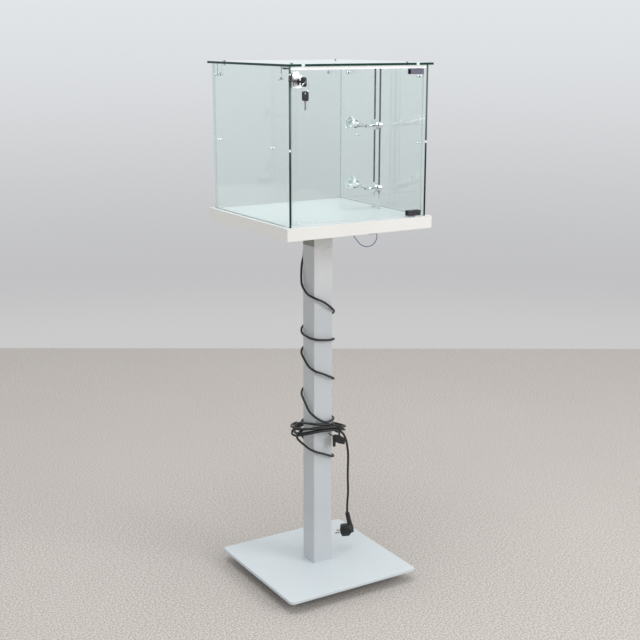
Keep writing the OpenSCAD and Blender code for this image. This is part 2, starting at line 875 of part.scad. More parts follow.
module spare_key() {
    color(black)
        translate([lock_x, key_y + key_hole_in, spare_hole_z + key_hole_in])
            rotate([0, 0, ring_turn - 90]) rotate([0, 90, 0]) key_blank();
}

// ---------- lights ----------

module light_rods() {
    color(chrome)
        for (y = rod_y)
            translate([rod_x, y, rod_z[0]]) cylinder(h = rod_z[1] - rod_z[0], r = rod_d / 2);
}

module rod_fittings() {
    bore = rod_d / 2 + run;
    color(chrome)
        for (y = rod_y)
            translate([rod_x, y, 0]) {
                difference() {
                    translate([0, 0, deck_z]) cylinder(h = 5, r = 6);
                    translate([0, 0, deck_z - 1]) cylinder(h = 7, r = bore);
                }
                difference() {
                    translate([0, 0, pane_z - 5]) cylinder(h = 5, r = 5);
                    translate([0, 0, pane_z - 6]) cylinder(h = 4.1, r = bore);
                }
                difference() {
                    translate([0, 0, tray_z - 5]) cylinder(h = 5, r = 4.6, $fn = 6);
                    translate([0, 0, tray_z - 6]) cylinder(h = 7, r = bore);
                }
            }
}

// bridge on the rods' lower ends, and the sleeve over the wire's joint
module wire_terminals() {
    color(black) {
        difference() {
            block([rod_x - 7, rod_y[0] - 6.5, 1004], [rod_x + 7, rod_y[1] + 6.5, 1016]);
            for (y = rod_y)
                translate([rod_x, y, rod_z[0]]) cylinder(h = 20, r = rod_d / 2 + run);
        }
        difference() {
            along_x(152, 169, rod_mid_y, 987, 2.6);
            along_x(151, 170, rod_mid_y, 987, wire_d / 2 + 0.1);
        }
    }
}

module supply_wire() {
    p = through(wire_route, 2);
    color([0.30, 0.45, 0.62]) tube(p, 0, len(p) - 1, wire_d, 8, [0, 1, 0]);
}

module at_knuckle(z) {
    translate([knuckle_x, rod_mid_y, z - knuckle_drop]) children();
}

// block that rides on both rods, and the disc and arm that carry the head
module spot_clamp(z) {
    bore = rod_d / 2 + run;
    color(chrome)
        difference() {
            union() {
                along_x(disc_x[0], disc_x[1], rod_mid_y, z, disc_r);
                for (s = [-1, 1])
                    along_x(clamp_x[0], clamp_x[1], rod_mid_y + 5.5 * s, z - clamp_drop, clamp_end_r);
                block([clamp_x[0], rod_mid_y - 5.5, z - clamp_drop - clamp_end_r],
                    [clamp_x[1], rod_mid_y + 5.5, z - clamp_drop + clamp_end_r]);
                along_x(knuckle_x + 5, disc_x[0] + 1, rod_mid_y, z - arm_drop, arm_r);
                at_knuckle(z) block([-4, -4.2, -4], [7, 4.2, 4]);
            }
            for (y = rod_y)
                translate([rod_x, y, z - 30]) cylinder(h = 60, r = bore);
            at_knuckle(z) block([-5, -2.3, -5], [5, 2.3, 5]);
            at_knuckle(z) along_y(0, -5, 5, 0, 1.5 + run);
            along_x(rod_x + 2, clamp_x[1] + 1, rod_mid_y, z - clamp_drop, 2);
        }
}

module spot_knob(z) {
    color(chrome)
        union() {
            along_x(rod_x + 2, knob_x[0] + 1, rod_mid_y, z - clamp_drop, 2);
            difference() {
                along_x(knob_x[0], knob_x[1], rod_mid_y, z - clamp_drop, knob_r);
                for (k = [0 : 7])
                    translate([knob_x[0], rod_mid_y, z - clamp_drop])
                        rotate([45 * k, 0, 0]) along_x(-1, 10, 0, knob_r + 1.1, 1.8);
            }
        }
}

// head in its own frame: it points along +X from the knuckle
module head_shape() {
    block([-2.2, -2.0, -3], [9, 2.0, 3]);
    along_y(0, -4.2, 4.2, 0, 1.5);
    translate([7, 0, 0]) rotate([0, 90, 0]) cylinder(h = lamp_at - 7, r1 = 3.2, r2 = 9.6);
    for (s = [0, 180])
        rotate([s, 0, 0]) block([lamp_at - 1, -2.5, 8.6], [lamp_at + 6.5, 2.5, 10.4]);
}

// reflector lamp on the same axis
module lamp_shape() {
    translate([lamp_at, 0, 0])
        rotate([0, 90, 0])
            rotate_extrude()
                polygon([
                    [0, 0], [6.5, 0], [6.5, 2.5], [8.2, 4], [8.4, 7], [11, 9.5], [14, 13],
                    [16.3, 17.5], [17.2, 21], [18, 21.5], [18, 24.5], [0, 24.5]
                ]);
}

module aimed(z, tilt) {
    at_knuckle(z) rotate([0, tilt, 0]) mirror([1, 0, 0]) children();
}

module spot_head(z, tilt) {
    color(chrome) aimed(z, tilt) head_shape();
}

module spot_lamp(z, tilt) {
    color([0.9, 0.94, 0.94]) aimed(z, tilt) lamp_shape();
}

module transformer() {
    z = tray_z - trafo_h;
    color(black)
        difference() {
            union() {
                block([trafo_x[0], trafo_y[0], z], [trafo_x[1], trafo_y[1], tray_z]);
                block([trafo_x[0], trafo_y[0] - trafo_lug, tray_z - 3],
                    [trafo_x[1], trafo_y[1] + trafo_lug, tray_z]);
            }
            for (p = tray_screw_places)
                if (p[2] == 3)
                    translate([p[0], p[1], z]) cylinder(h = 40, r = screw_r);
        }
}

module strain_relief() {
    color(black)
        difference() {
            translate([lead_route[0][0], trafo_y[1], lead_route[0][2]])
                rotate([-90, 0, 0]) cylinder(h = relief_y - trafo_y[1] + 1, r1 = 6.5, r2 = 4.6);
            translate([lead_route[0][0], relief_y, lead_route[0][2]])
                rotate([-90, 0, 0]) cylinder(h = 2, r = cord_d / 2 + 0.05);
        }
}

// ---------- mains cord ----------

module cord_wrap() {
    color(black) tube(cord_points, 0, wrap_last, cord_d, 6, [0, 0, 1]);
}

module cord_hank() {
    echo(least_gap_mm = least_gap(cord_points, cord_d), cord_mm = length_of(cord_points));
    color(black) tube(cord_points, wrap_last, hank_last, cord_d, 6, [0, 0, 1]);
}

module cord_drop() {
    color(black) tube(cord_points, hank_last, cord_last, cord_d, 8, [0, 1, 0]);
}

// the plug hangs from its sleeve: +Z runs up the sleeve and the pins point along +X
module at_plug() {
    translate(plug_tip) rotate([0, plug_lean, plug_turn]) children();
}

module plug_body() {
    color(black)
        at_plug() {
            translate([0, 0, -40]) cylinder(h = 40, r1 = 7, r2 = 5.6);
            translate([0, 0, -62]) cylinder(h = 24, r = 7);
            difference() {
                along_x(plug_x[0], plug_x[1], 0, plug_z, plug_body_r);
                translate([plug_x[0], -30, plug_z - 5])
                    rotate([0, -45, 0]) translate([-40, 0, -60]) cube([40, 60, 60]);
                for (s = [-1, 1])
                    block([plug_x[1] - 2, s > 0 ? 15.4 : -30, plug_z - 3],
                        [plug_x[1] + 1, s > 0 ? 30 : -15.4, plug_z + 3]);
            }
        }
}

module plug_pins() {
    color(steel)
        at_plug()
            for (s = [-1, 1])
                along_x(plug_x[1], plug_x[1] + pin_l, s * pin_y, plug_z - 2.5, plug_pin_r);
}

// hook-and-loop strap: a ring round the hank's strands, with its loose ends hanging in front
module cable_strap() {
    color(black) {
        translate([strap_at[0], strap_at[1], 0])
            rotate([0, 0, 15])
                difference() {
                    block([-2.5, -10.2, 431.2], [4.5, 10.8, 453.2]);
                    block([-3.5, -9, 432.4], [5.5, 9.6, 452]);
                }
        block([36.5, strap_y[0], 422], [42, strap_y[1], 440]);
        upright(strap_y[0] - 0.4, strap_y[1] + 0.5)
            polygon([[25.6, 430.8], [42.2, 424.2], [59.1, 412.5], [56.2, 395.1], [40.7, 400.6],
                [25.7, 408.2]]);
        upright(strap_y[0] + 0.8, strap_y[1]) {
            polygon([[16.3, 427.2], [26, 430.8], [27.1, 394.8], [18.4, 394.3]]);
            polygon([[2, 440], [2, 437], [17, 426], [18.4, 430]]);
        }
    }
}

// flat outline in X and Z, from y0 to y1
module upright(y0, y1) {
    translate([0, y1, 0]) rotate([90, 0, 0]) linear_extrude(y1 - y0) children();
}

base_plate();
castor_mounts();
castor_screws();
castor_fork(castors[0]);  // castor_fork_fl
castor_fork(castors[1]);  // castor_fork_fr
castor_fork(castors[2]);  // castor_fork_bl
castor_fork(castors[3]);  // castor_fork_br
castor_wheels(castors[0]);  // castor_wheels_fl
castor_wheels(castors[1]);  // castor_wheels_fr
castor_wheels(castors[2]);  // castor_wheels_bl
castor_wheels(castors[3]);  // castor_wheels_br
column();
column_foot_block();
column_foot_bolts();
column_head_plate();
tray_screws();
tray();
tray_pad();
side_pane(-1);  // glass_left
side_pane(1);  // glass_right
glass_back();
glass_top();
corner_brackets();
bracket_screws();
shelf_pins();
head_strip();
head_buffer();
glass_door();
hinge_clamp(door_z[1], 1);  // hinge_clamp_upper
hinge_clamp(door_z[0], -1);  // hinge_clamp_lower
hinge_screws();
hinge_pins();
hinge_bushes();
lock_case();
lock_plug();
lock_cam();
lock_keeper();
key();
key_ring();
spare_key();
light_rods();
rod_fittings();
wire_terminals();
supply_wire();
spot_clamp(spot_upper_z);  // spot_clamp_upper
spot_clamp(spot_lower_z);  // spot_clamp_lower
spot_knob(spot_upper_z);  // spot_knob_upper
spot_knob(spot_lower_z);  // spot_knob_lower
spot_head(spot_upper_z, spot_upper_tilt);  // spot_head_upper
spot_head(spot_lower_z, spot_lower_tilt);  // spot_head_lower
spot_lamp(spot_upper_z, spot_upper_tilt);  // spot_lamp_upper
spot_lamp(spot_lower_z, spot_lower_tilt);  // spot_lamp_lower
transformer();
strain_relief();
cord_wrap();
cord_hank();
cord_drop();
plug_body();
plug_pins();
cable_strap();
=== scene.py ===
# %% [markdown]
# # A pedestal display case
# The case is a glass box with a locking door, on a square steel column and a castored base.
# Its exact parts come from a CAD model, which is packed as a fixed frame. This script keeps
# every CAD part where it is, gives each one a finish, and rebuilds what CAD shows too plainly:
# the mains cord, the keys, the lamps, the strap and the plug.
# Blender counts in metres. Sizes here are written in millimetres and scaled by MM.

# %% Load the frame
import math

import bmesh
import bpy
from mathutils import Matrix, Vector


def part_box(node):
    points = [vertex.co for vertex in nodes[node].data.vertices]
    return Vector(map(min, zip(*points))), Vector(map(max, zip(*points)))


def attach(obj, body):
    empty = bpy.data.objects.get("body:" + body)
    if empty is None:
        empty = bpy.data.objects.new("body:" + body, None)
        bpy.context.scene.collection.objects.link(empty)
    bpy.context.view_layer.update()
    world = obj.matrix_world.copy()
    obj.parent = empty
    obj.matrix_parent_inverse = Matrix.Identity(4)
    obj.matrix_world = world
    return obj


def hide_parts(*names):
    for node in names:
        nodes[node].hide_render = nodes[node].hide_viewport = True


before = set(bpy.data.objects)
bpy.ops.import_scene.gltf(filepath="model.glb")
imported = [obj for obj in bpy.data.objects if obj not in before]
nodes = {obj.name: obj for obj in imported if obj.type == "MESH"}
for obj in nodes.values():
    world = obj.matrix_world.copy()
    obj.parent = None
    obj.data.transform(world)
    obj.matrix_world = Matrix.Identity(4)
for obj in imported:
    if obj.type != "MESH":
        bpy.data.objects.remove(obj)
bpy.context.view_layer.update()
MM = 0.001
scene = bpy.context.scene


def metres(point):
    """A point in millimetres as a vector in metres."""
    return Vector(point) * MM


# %% [markdown]
# ## The camera
# The photograph was taken from eye height, a little to the left of the case. The place and the
# turn of the camera were fitted to the corners of the tray, the glass and the base, so a piece
# in the render falls on the same spot as in the photograph.

# %% Camera
SENSOR, LENS = 36, 65.36
EYE, AIM = (-1621.4, -2679.6, 1520.5), (31.3, -13.755, 0.086)
camera_data = bpy.data.cameras.new("photo_camera")
camera_data.sensor_width, camera_data.lens = SENSOR, LENS
camera = bpy.data.objects.new("photo_camera", camera_data)
scene.collection.objects.link(camera)
eye = metres(EYE)
heading, pitch, roll = (math.radians(a) for a in AIM)
camera.matrix_world = (
    Matrix.Translation(eye)
    @ Matrix.Rotation(-heading, 4, "Z")
    @ Matrix.Rotation(math.radians(90) + pitch, 4, "X")
    @ Matrix.Rotation(roll, 4, "Z")
)
scene.camera = camera
scene.view_settings.view_transform = "Standard"
print("camera at", [round(c, 3) for c in eye])

# %% [markdown]
# ## The mains cord
# A black rubber lead comes out of the transformer under the tray, winds down the column, lies in
# a hank of three and a half oval loops and hangs down to its plug. A cord is easiest to believe
# when it is one curve with a round bevel, because its thickness then never changes. The points
# are the ones that the CAD model follows, drawn more finely.

# %% Smooth curves through points


def ease(t, a, b, slope_a, slope_b):
    """Value on a smooth curve from a to b, whose slopes there are given."""
    return (
        a * (2 * t**3 - 3 * t**2 + 1)
        + slope_a * (t**3 - 2 * t**2 + t)
        + b * (3 * t**2 - 2 * t**3)
        + slope_b * (t**3 - t**2)
    )


def through(points, steps, before=None, after=None):
    """A smooth curve through the points, which sets out from before and heads for after."""
    p = [Vector(q) for q in points]
    p = [p[0] if before is None else before] + p + [p[-1] if after is None else after]
    curve = []
    for i in range(1, len(p) - 2):
        slopes = (p[i + 1] - p[i - 1]) / 2, (p[i + 2] - p[i]) / 2
        curve += [ease(k / steps, p[i], p[i + 1], *slopes) for k in range(steps)]
    return curve + [p[-2]]


# %% Turns round the column
CORD_D = 6.4
WRAP_HALF, WRAP_ARC = 40, 14
WRAP_R = WRAP_HALF - WRAP_ARC
lead_route = [
    (63, 75, 1011), (62, 85, 1010), (58.5, 96, 1006), (51, 105, 998), (41, 108, 987),
    (29, 105, 975), (18, 96, 966), (9, 84, 960), (0, 70, 954), (-9, 57, 947), (-16.5, 46.5, 938),
]  # fmt: skip
# along the turns: the angle turned so far, the height there, and how far the cord stands off
turns = [
    (100, 934, 0), (120, 928, 0), (135, 900, 0), (145, 870, 0), (155, 855, 0), (180, 840, 0),
    (225, 827, 0), (270, 810, 0), (315, 784, 0), (360, 765, 0), (450, 742, 0), (489, 730.3, 0),
    (523, 716.2, 0), (554, 713.8, 0), (630, 705, 0), (675, 702, 0), (720, 695, 0),
    (817, 678.8, 0), (861, 662.4, 0), (900, 641.5, 0), (945, 621, 0), (990, 606, 0),
    (1035, 589, 0), (1080, 577, 0), (1180, 558.5, 0), (1231, 537, 0), (1252, 524, 0),
    (1305, 489, 0), (1350, 467.4, 0), (1395, 469, 0), (1440, 470, 0), (1530, 462, 0),
    (1571, 456.4, 0), (1601, 455.4, 0), (1621, 460.1, 0), (1665, 465, 0), (1710, 460.2, 0),
    (1755, 455, 0), (1800, 446, 0), (1845, 436, 0), (1875, 428, 4), (1905, 420, 11),
    (1935, 412.5, 14), (1965, 404, 11), (1995, 394, 4), (2025, 385, 0), (2070, 372, 0),
    (2115, 358, 0), (2150, 356, 0), (2205, 362, 0),
]  # fmt: skip
FIRST_TURN, LAST_TURN, TURN_STEP = 120, 2190, 7.5
ROUTE_STEPS = 4


def turned(angle, column):
    """Height (column 1) or stand-off (column 2) of the cord at a turned angle."""
    last = len(turns) - 1
    i = next((k for k in range(last) if angle <= turns[k + 1][0]), last - 1)

    def rise(k):
        low, high = turns[max(k - 1, 0)], turns[min(k + 1, last)]
        return (high[column] - low[column]) / (high[0] - low[0])

    span = turns[i + 1][0] - turns[i][0]
    t = (angle - turns[i][0]) / span
    return ease(t, turns[i][column], turns[i + 1][column], rise(i) * span, rise(i + 1) * span)


def wrap_point(angle):
    """Point of the cord on its way round the square column."""
    a = math.radians(angle)
    high = max(abs(math.cos(a)), abs(math.sin(a)))
    low = min(abs(math.cos(a)), abs(math.sin(a)))
    bend = WRAP_ARC * (high + low)
    if low * WRAP_HALF <= high * WRAP_ARC:
        out = WRAP_HALF / high
    else:
        out = bend + math.sqrt(bend**2 + WRAP_R**2 - 2 * WRAP_ARC**2)
    out += turned(angle, 2)
    return Vector((out * math.cos(a), out * math.sin(a), turned(angle, 1)))


turn_count = round((LAST_TURN - FIRST_TURN) / TURN_STEP)
wraps = [wrap_point(FIRST_TURN + TURN_STEP * k) for k in range(turn_count + 1)]
lead = through(lead_route + [wraps[0]], ROUTE_STEPS, after=wraps[2])
print("turns round the column:", round((LAST_TURN - FIRST_TURN) / 360, 2))

# %% The hank and the drop
HANK_MID, HANK_HALF = (8, 5), (73, 45.2)
HANK_START, HANK_TURNS = 126, 3.4556
HANK_PITCH, HANK_LAYER = 7.2, 3.6
HANK_LEVEL = 437.75
HANK_STEPS = 220


def smooth(t):
    """0 below 0, 1 above 1, and a soft step between."""
    t = max(0, min(1, t))
    return t * t * (3 - 2 * t)


def hank_point(t):
    """Point of the hank at t turns: in through the upper layer, out through the lower one."""
    a = math.radians(HANK_START + 360 * t)
    out = HANK_PITCH * abs(t - HANK_TURNS / 2)
    layer = 1 - 2 * smooth((t - HANK_TURNS / 2 + 0.25) * 2)
    fan = math.cos(a) ** 2 * (6 - 3 * math.cos(a)) * (1 - 2 * t / HANK_TURNS)
    level = HANK_LEVEL - 8 * math.cos(a) - 5.5 * math.sin(a) - 5.75 * math.cos(2 * a)
    return Vector((
        HANK_MID[0] + (HANK_HALF[0] + out) * math.cos(a),
        HANK_MID[1] + (HANK_HALF[1] + out) * math.sin(a),
        level + HANK_LAYER * layer + fan,
    ))  # fmt: skip


join_route = [
    (30, 39, 364), (13.7, 52.5, 372), (-3, 62, 384), (-12.6, 67.5, 399), (-16.6, 68.4, 416),
    (-22, 65.5, 430.5), (-30.5, 60, 441),
]  # fmt: skip
PLUG_TIP = (95.8, -10, 164)
drop_route = [
    (50, -46.5, 432), (62, -43, 419), (72, -38, 401), (80, -33, 378), (86, -28, 350),
    (89, -23, 318), (91, -19, 285), (94, -16, 255), (96, -13.5, 226), (95.5, -11, 195), PLUG_TIP,
]  # fmt: skip
hank = [hank_point(HANK_TURNS * k / HANK_STEPS) for k in range(HANK_STEPS + 1)]
join = through([wraps[-1]] + join_route + [hank[0]], ROUTE_STEPS, wraps[-4], hank[3])
drop = through([hank[-1]] + drop_route, ROUTE_STEPS, hank[-4])
cord_points = [p * MM for p in lead[:-1] + wraps + join[1:-1] + hank + drop[1:]]


def length_along(points):
    return sum((b - a).length for a, b in zip(points, points[1:]))


cord_length = length_along(cord_points)
print("mains cord:", len(cord_points), "points,", round(cord_length, 3), "m")

# %% Cords as bevelled curves


def cord_curve(name, points, diameter, sides=6):
    """One open curve through the points, with a round section."""
    data = bpy.data.curves.new(name, "CURVE")
    data.dimensions = "3D"
    data.bevel_depth = diameter / 2
    data.bevel_resolution = sides
    data.use_fill_caps = True
    spline = data.splines.new("POLY")
    spline.points.add(len(points) - 1)
    for place, p in zip(spline.points, points):
        place.co = (*p, 1)
    obj = bpy.data.objects.new(name, data)
    scene.collection.objects.link(obj)
    return obj


mains_cord = cord_curve("mains_cord", cord_points, CORD_D * MM)
wire_route = [
    (80, -24, 1012), (86, -24, 1009.5), (91, -24, 1002), (96, -24, 993.5), (101, -24, 986),
    (107, -24, 977.5), (114, -24, 969), (126, -24, 957.5), (140, -24, 951.5), (154, -24, 951),
    (166, -24, 955), (174, -24, 963), (178.5, -24, 973), (178, -24, 982), (173, -24, 986.5),
    (168, -24, 987), (160, -24, 987), (152, -24, 987), (145.5, -24, 989.5), (142.5, -24, 994.5),
    (142.5, -24, 1001), (146.5, -24, 1007), (154, -24, 1010), (161, -24, 1010), (168, -24, 1010),
]  # fmt: skip
WIRE_D, WIRE_STEPS = 2.2, 6
wire_points = [p * MM for p in through(wire_route, WIRE_STEPS)]
wire_length = length_along(wire_points)
supply_lead = cord_curve("supply_lead", wire_points, WIRE_D * MM, 4)
print("low-voltage wire:", round(wire_length, 3), "m")

# %% [markdown]
# ## Finishes
# A finish is a small tree of shader nodes. Written as Python sums it stays readable: the class
# below wraps one output of a node, and + - * and ** on it add the Math nodes. Everything that
# varies over a surface comes from the object's own coordinates, so a finish keeps its place
# when a part moves.

# %% Shader maths as Python


class Value:
    """One output in a finish. Sums with it add Math nodes."""

    def __init__(self, finish, socket):
        self.finish = finish
        self.socket = socket

    def math(self, operation, *others):
        inputs = dict(enumerate((self, *others)))
        return self.finish.node("ShaderNodeMath", {"operation": operation}, inputs)

    def __add__(self, other):
        return self.math("ADD", other)

    __radd__ = __add__

    def __mul__(self, other):
        return self.math("MULTIPLY", other)

    __rmul__ = __mul__

    def __sub__(self, other):
        return self.math("SUBTRACT", other)

    def __rsub__(self, other):
        return (self * -1).math("ADD", other)

    def __abs__(self):
        return self.math("ABSOLUTE")

    def __pow__(self, other):
        return self.math("POWER", other)

    def above(self, edge, soft):
        """0 below the edge and 1 above it, with a soft step that wide."""
        ends = {"Value": self, "From Min": edge - soft / 2, "From Max": edge + soft / 2}
        return self.finish.node("ShaderNodeMapRange", {"interpolation_type": "SMOOTHSTEP"}, ends)

    def between(self, low, high, soft):
        """1 between low and high, and 0 outside."""
        return self.above(low, soft) * (1 - self.above(high, soft))


class Finish:
    """The node tree of one material."""

    def __init__(self, name):
        self.name = name
        self.material = bpy.data.materials.new(name)
        self.material.use_nodes = True
        self.tree = self.material.node_tree
        self.tree.nodes.clear()
        where = self.tree.nodes.new("ShaderNodeTexCoord")
        self.place = Value(self, where.outputs["Object"])
        self.x, self.y, self.z = self.parts(self.place)
        self.facing = self.parts(Value(self, where.outputs["Normal"]))

    def node(self, kind, settings, inputs, output=0):
        """Add a node: its settings first, then the values or links of its inputs."""
        made = self.tree.nodes.new(kind)
        for key, value in settings.items():
            setattr(made, key, value)
        for key, value in inputs.items():
            socket = made.inputs[key]
            if isinstance(value, Value):
                self.tree.links.new(value.socket, socket)
            elif hasattr(value, "__len__") and len(value) == 3 and len(socket.default_value) == 4:
                socket.default_value = (*value, 1)
            else:
                socket.default_value = value
        return Value(self, made.outputs[output])

    def parts(self, vector):
        return [
            self.node("ShaderNodeSeparateXYZ", {}, {"Vector": vector}, output)
            for output in ("X", "Y", "Z")
        ]

    def noise(self, scale, detail=3, place=None):
        """A cloudy pattern from 0 to 1, with features about 1 / scale metres wide."""
        inputs = {"Vector": place or self.place, "Scale": scale, "Detail": detail}
        return self.node("ShaderNodeTexNoise", {}, inputs)

    def stretched(self, x, y, z):
        """The place on the object, stretched along its axes."""
        inputs = {0: self.place, 1: (x, y, z)}
        return self.node("ShaderNodeVectorMath", {"operation": "MULTIPLY"}, inputs)

    def blend(self, amount, first, second):
        """From the first colour to the second."""
        inputs = {0: amount, 6: first, 7: second}
        return self.node("ShaderNodeMix", {"data_type": "RGBA"}, inputs, 2)

    def bump(self, height, depth, strength=1.0):
        """A surface that stands up by height times depth metres."""
        inputs = {"Height": height, "Distance": depth, "Strength": strength}
        return self.node("ShaderNodeBump", {}, inputs)

    def surface(self, color, roughness, **more):
        """The usual shader. Names such as coat_weight are its inputs."""
        inputs = {"Base Color": color, "Roughness": roughness}
        for key, value in more.items():
            inputs[key.replace("_", " ").title().replace("Ior", "IOR")] = value
        return self.node("ShaderNodeBsdfPrincipled", {}, inputs)

    def mix(self, amount, first, second):
        """From one shader to another."""
        return self.node("ShaderNodeMixShader", {}, {0: amount, 1: first, 2: second})

    def gleam(self):
        """How much a glass surface mirrors: 4 percent seen squarely, and more at a slant."""
        slant = self.node("ShaderNodeLayerWeight", {}, {"Blend": 0.5}, "Facing")
        return 0.04 + 0.96 * slant**5

    def done(self, shader):
        output = self.tree.nodes.new("ShaderNodeOutputMaterial")
        self.tree.links.new(shader.socket, output.inputs["Surface"])
        finishes[self.name] = self.material
        return self.material


def rgb(red, green, blue):
    """A colour as it looks on screen, from 0 to 255, in the linear numbers that shaders use."""
    return tuple(
        c / 12.92 if c <= 0.04045 else ((c + 0.055) / 1.055) ** 2.4
        for c in (red / 255, green / 255, blue / 255)
    )


finishes = {}


def dress(material, *names):
    """Give a finish to CAD parts."""
    for name in names:
        slots = nodes[name].data.materials
        slots.clear()
        slots.append(material)


def named(pattern):
    """The CAD parts whose name starts with the pattern."""
    return [name for name in sorted(nodes) if name.startswith(pattern)]


# %% [markdown]
# ## Painted steel
# The column and the base plate have a satin powder coat: pale blue grey, a faint orange peel,
# and a tone that wanders slightly. The column's upper end keeps a dull grey band where packing
# tape was pulled off, painted dark on its left face as painted shade under the tray, and towards
# the top its other faces are painted lighter, painted light. The plate's coat is painted a little
# lighter than the column's, painted light on its lit top. The column's foot and the plate carry
# fine scuffs.

# %% Powder coat
TAPE_EDGE, TAPE_TILT = 0.9585, 0.009  # metres: how high the tape ended, and lower on the left


def powder_coat(name, color, taped_and_shaded):
    f = Finish(name)
    cloud = f.noise(7, 4)
    grain = f.noise(1400, 2)
    scuffs = f.noise(160, 6, f.stretched(1, 1, 0.18)).above(0.68, 0.06)
    tone = f.blend(cloud, [c * 0.94 for c in color], [min(1, c * 1.05) for c in color])
    tone = f.blend(scuffs * 0.18, tone, [c * 0.72 for c in color])
    rough = 0.42 + 0.10 * cloud + 0.12 * scuffs
    if taped_and_shaded:
        left = 1 - f.facing[0].above(-0.5, 0.1)
        # Painted light: towards the top, every face but the left one is painted lighter.
        tone = f.blend(f.z.above(0.85, 0.2) * (1 - left), tone, rgb(212, 215, 216))
        smears = f.noise(300, 4, f.stretched(1, 0.3, 2)).above(0.56, 0.05)
        smears = smears * f.z.above(0.945, 0.03)
        tone = f.blend(smears * 0.4, tone, rgb(222, 224, 222))
        edge = f.z + 0.003 * f.noise(90, 4) - TAPE_TILT * left
        band = edge.above(TAPE_EDGE, 0.0012)
        dirt = f.noise(260, 5, f.stretched(1, 1, 3)).between(0.5, 0.62, 0.05)
        # On the front the band is pale glue; on the left face it is painted dark grey, painted
        # shade under the tray.
        glue_and_shade = f.blend(left, rgb(214, 216, 217), rgb(136, 138, 131))
        tone = f.blend(band * (0.85 + 0.15 * dirt), tone, glue_and_shade)
        rough = rough + band * 0.2
    shell = f.bump(grain, 0.00006, 0.6)
    return f.done(f.surface(tone, rough, normal=shell))


dress(powder_coat("column_paint", rgb(191, 196, 200), True), "column")
# Painted light: the plate's coat is a little lighter than the column's, for its top lit from
# above.
dress(powder_coat("plate_paint", rgb(200, 208, 212), False), "base_plate")
print("painted:", "column", "base_plate")

# %% [markdown]
# ## Laminated board
# The tray is chipboard with a white laminate skin and edge bands. Its faces are satin and
# almost even, so the finish is quiet: a slight warmth, a fine pebble, and a hairline near each
# arris where the edge band meets the face.

# %% Laminate
TRAY_LOW, TRAY_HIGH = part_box("tray")


def laminate():
    f = Finish("laminate")
    cloud = f.noise(5, 3)
    pebble = f.noise(900, 2)
    seams = f.z.between(TRAY_HIGH.z - 0.0011, TRAY_HIGH.z - 0.0006, 0.0003)
    seams = seams + f.z.between(TRAY_LOW.z + 0.0006, TRAY_LOW.z + 0.0011, 0.0003)
    dust = f.noise(420, 5).above(0.70, 0.06)
    tone = f.blend(cloud, rgb(219, 219, 215), rgb(226, 226, 223))
    inside = f.z.above(TRAY_HIGH.z - 0.0002, 0.0002)
    tone = f.blend(inside, tone, rgb(205, 209, 211))
    tone = f.blend(seams * 0.35, tone, rgb(188, 186, 180))
    tone = f.blend(dust * 0.15, tone, rgb(170, 170, 168))
    skin = f.bump(pebble, 0.00003, 0.5)
    return f.done(f.surface(tone, 0.36 + 0.1 * cloud, normal=skin, coat_weight=0.1))


dress(laminate(), "tray")
print("tray from", [round(c, 3) for c in TRAY_LOW], "to", [round(c, 3) for c in TRAY_HIGH])

# %% [markdown]
# ## Glass
# Six millimetre float glass looks clear through its face and dark green through its edge. A
# face here is mostly transparent, with a mirror mixed in as the glass turns away from the eye,
# which the Layer Weight node measures. The narrow sides get a green finish of their own,
# which the object's own normals pick out. Along each arris, and where a fitting or a neighbour
# touches, the edge is painted pale: a painted highlight.

# %% Panes
ARRIS_HIGHLIGHT_W, ARRIS_HIGHLIGHT_BLUR = 0.0009, 0.0008  # metres of painted highlight along each arris
SHELF_Z, SHELF_BLUR = 1.27, 0.16  # the upright edges are painted paler above this height: painted light


def pane_glass(name, across, dark_sides=(), glint_spots=(), shine=1.0):
    """Glass for one pane. across is the axis of its thickness, 0 to 2.

    dark_sides are the axes on whose low side the edge looks deep green. An edge towards the
    eye is seen along the whole pane, and one that looks away stays pale.
    """
    f = Finish(name)
    tint = (0.953, 0.975, 0.970)
    smears = f.noise(9, 5).above(0.56, 0.2)
    clear = f.node("ShaderNodeBsdfTransparent", {}, {"Color": tint})
    mirror = f.surface((1, 1, 1), 0.012 + 0.03 * smears, metallic=1.0)
    face = f.mix(f.gleam() * shine, clear, mirror)
    streaks = f.noise(30, 3)
    low, high = (c[across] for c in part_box(name))
    depth = (f.x, f.y, f.z)[across]
    # Painted highlight: a pale band along each arris of the edge.
    arris_highlight = 1 - depth.between(low + ARRIS_HIGHLIGHT_W, high - ARRIS_HIGHLIGHT_W, ARRIS_HIGHLIGHT_BLUR)
    if across == 0:
        deep = f.blend(streaks, rgb(2, 22, 18), rgb(20, 48, 42))
        # Painted light: above the shelf height the upright edges are paler.
        deep = f.blend(f.z.above(SHELF_Z, SHELF_BLUR) * 0.6, deep, rgb(112, 128, 126))
    else:
        deep = f.blend(streaks, rgb(6, 36, 30), rgb(34, 68, 60))
    deep = f.blend(arris_highlight * 0.3, deep, rgb(120, 158, 148))
    pale = f.blend(arris_highlight, rgb(186, 198, 197), rgb(220, 236, 233))
    dark = 0
    for axis in dark_sides:
        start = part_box(name)[0][axis]
        dark = dark + (1 - (f.x, f.y, f.z)[axis].above(start + 0.001, 0.0004))
    green = f.blend(dark, pale, deep)
    # Painted highlight: pale spots on the edge where a fitting or a neighbour touches.
    for axis, at, width in glint_spots:
        spot = (f.x, f.y, f.z)[axis].between(at - width / 2, at + width / 2, 0.002)
        green = f.blend(spot, green, rgb(214, 230, 226))
    edge = f.surface(green, 0.12, specular_ior_level=0.12)
    ghost = f.node("ShaderNodeBsdfTransparent", {}, {"Color": (0.94, 0.97, 0.965)})
    edge = f.mix(0.45 + 0.55 * dark, ghost, edge)
    sides = 1 - abs(f.facing[across]).above(0.5, 0.1)
    return f.done(f.mix(sides, face, edge))


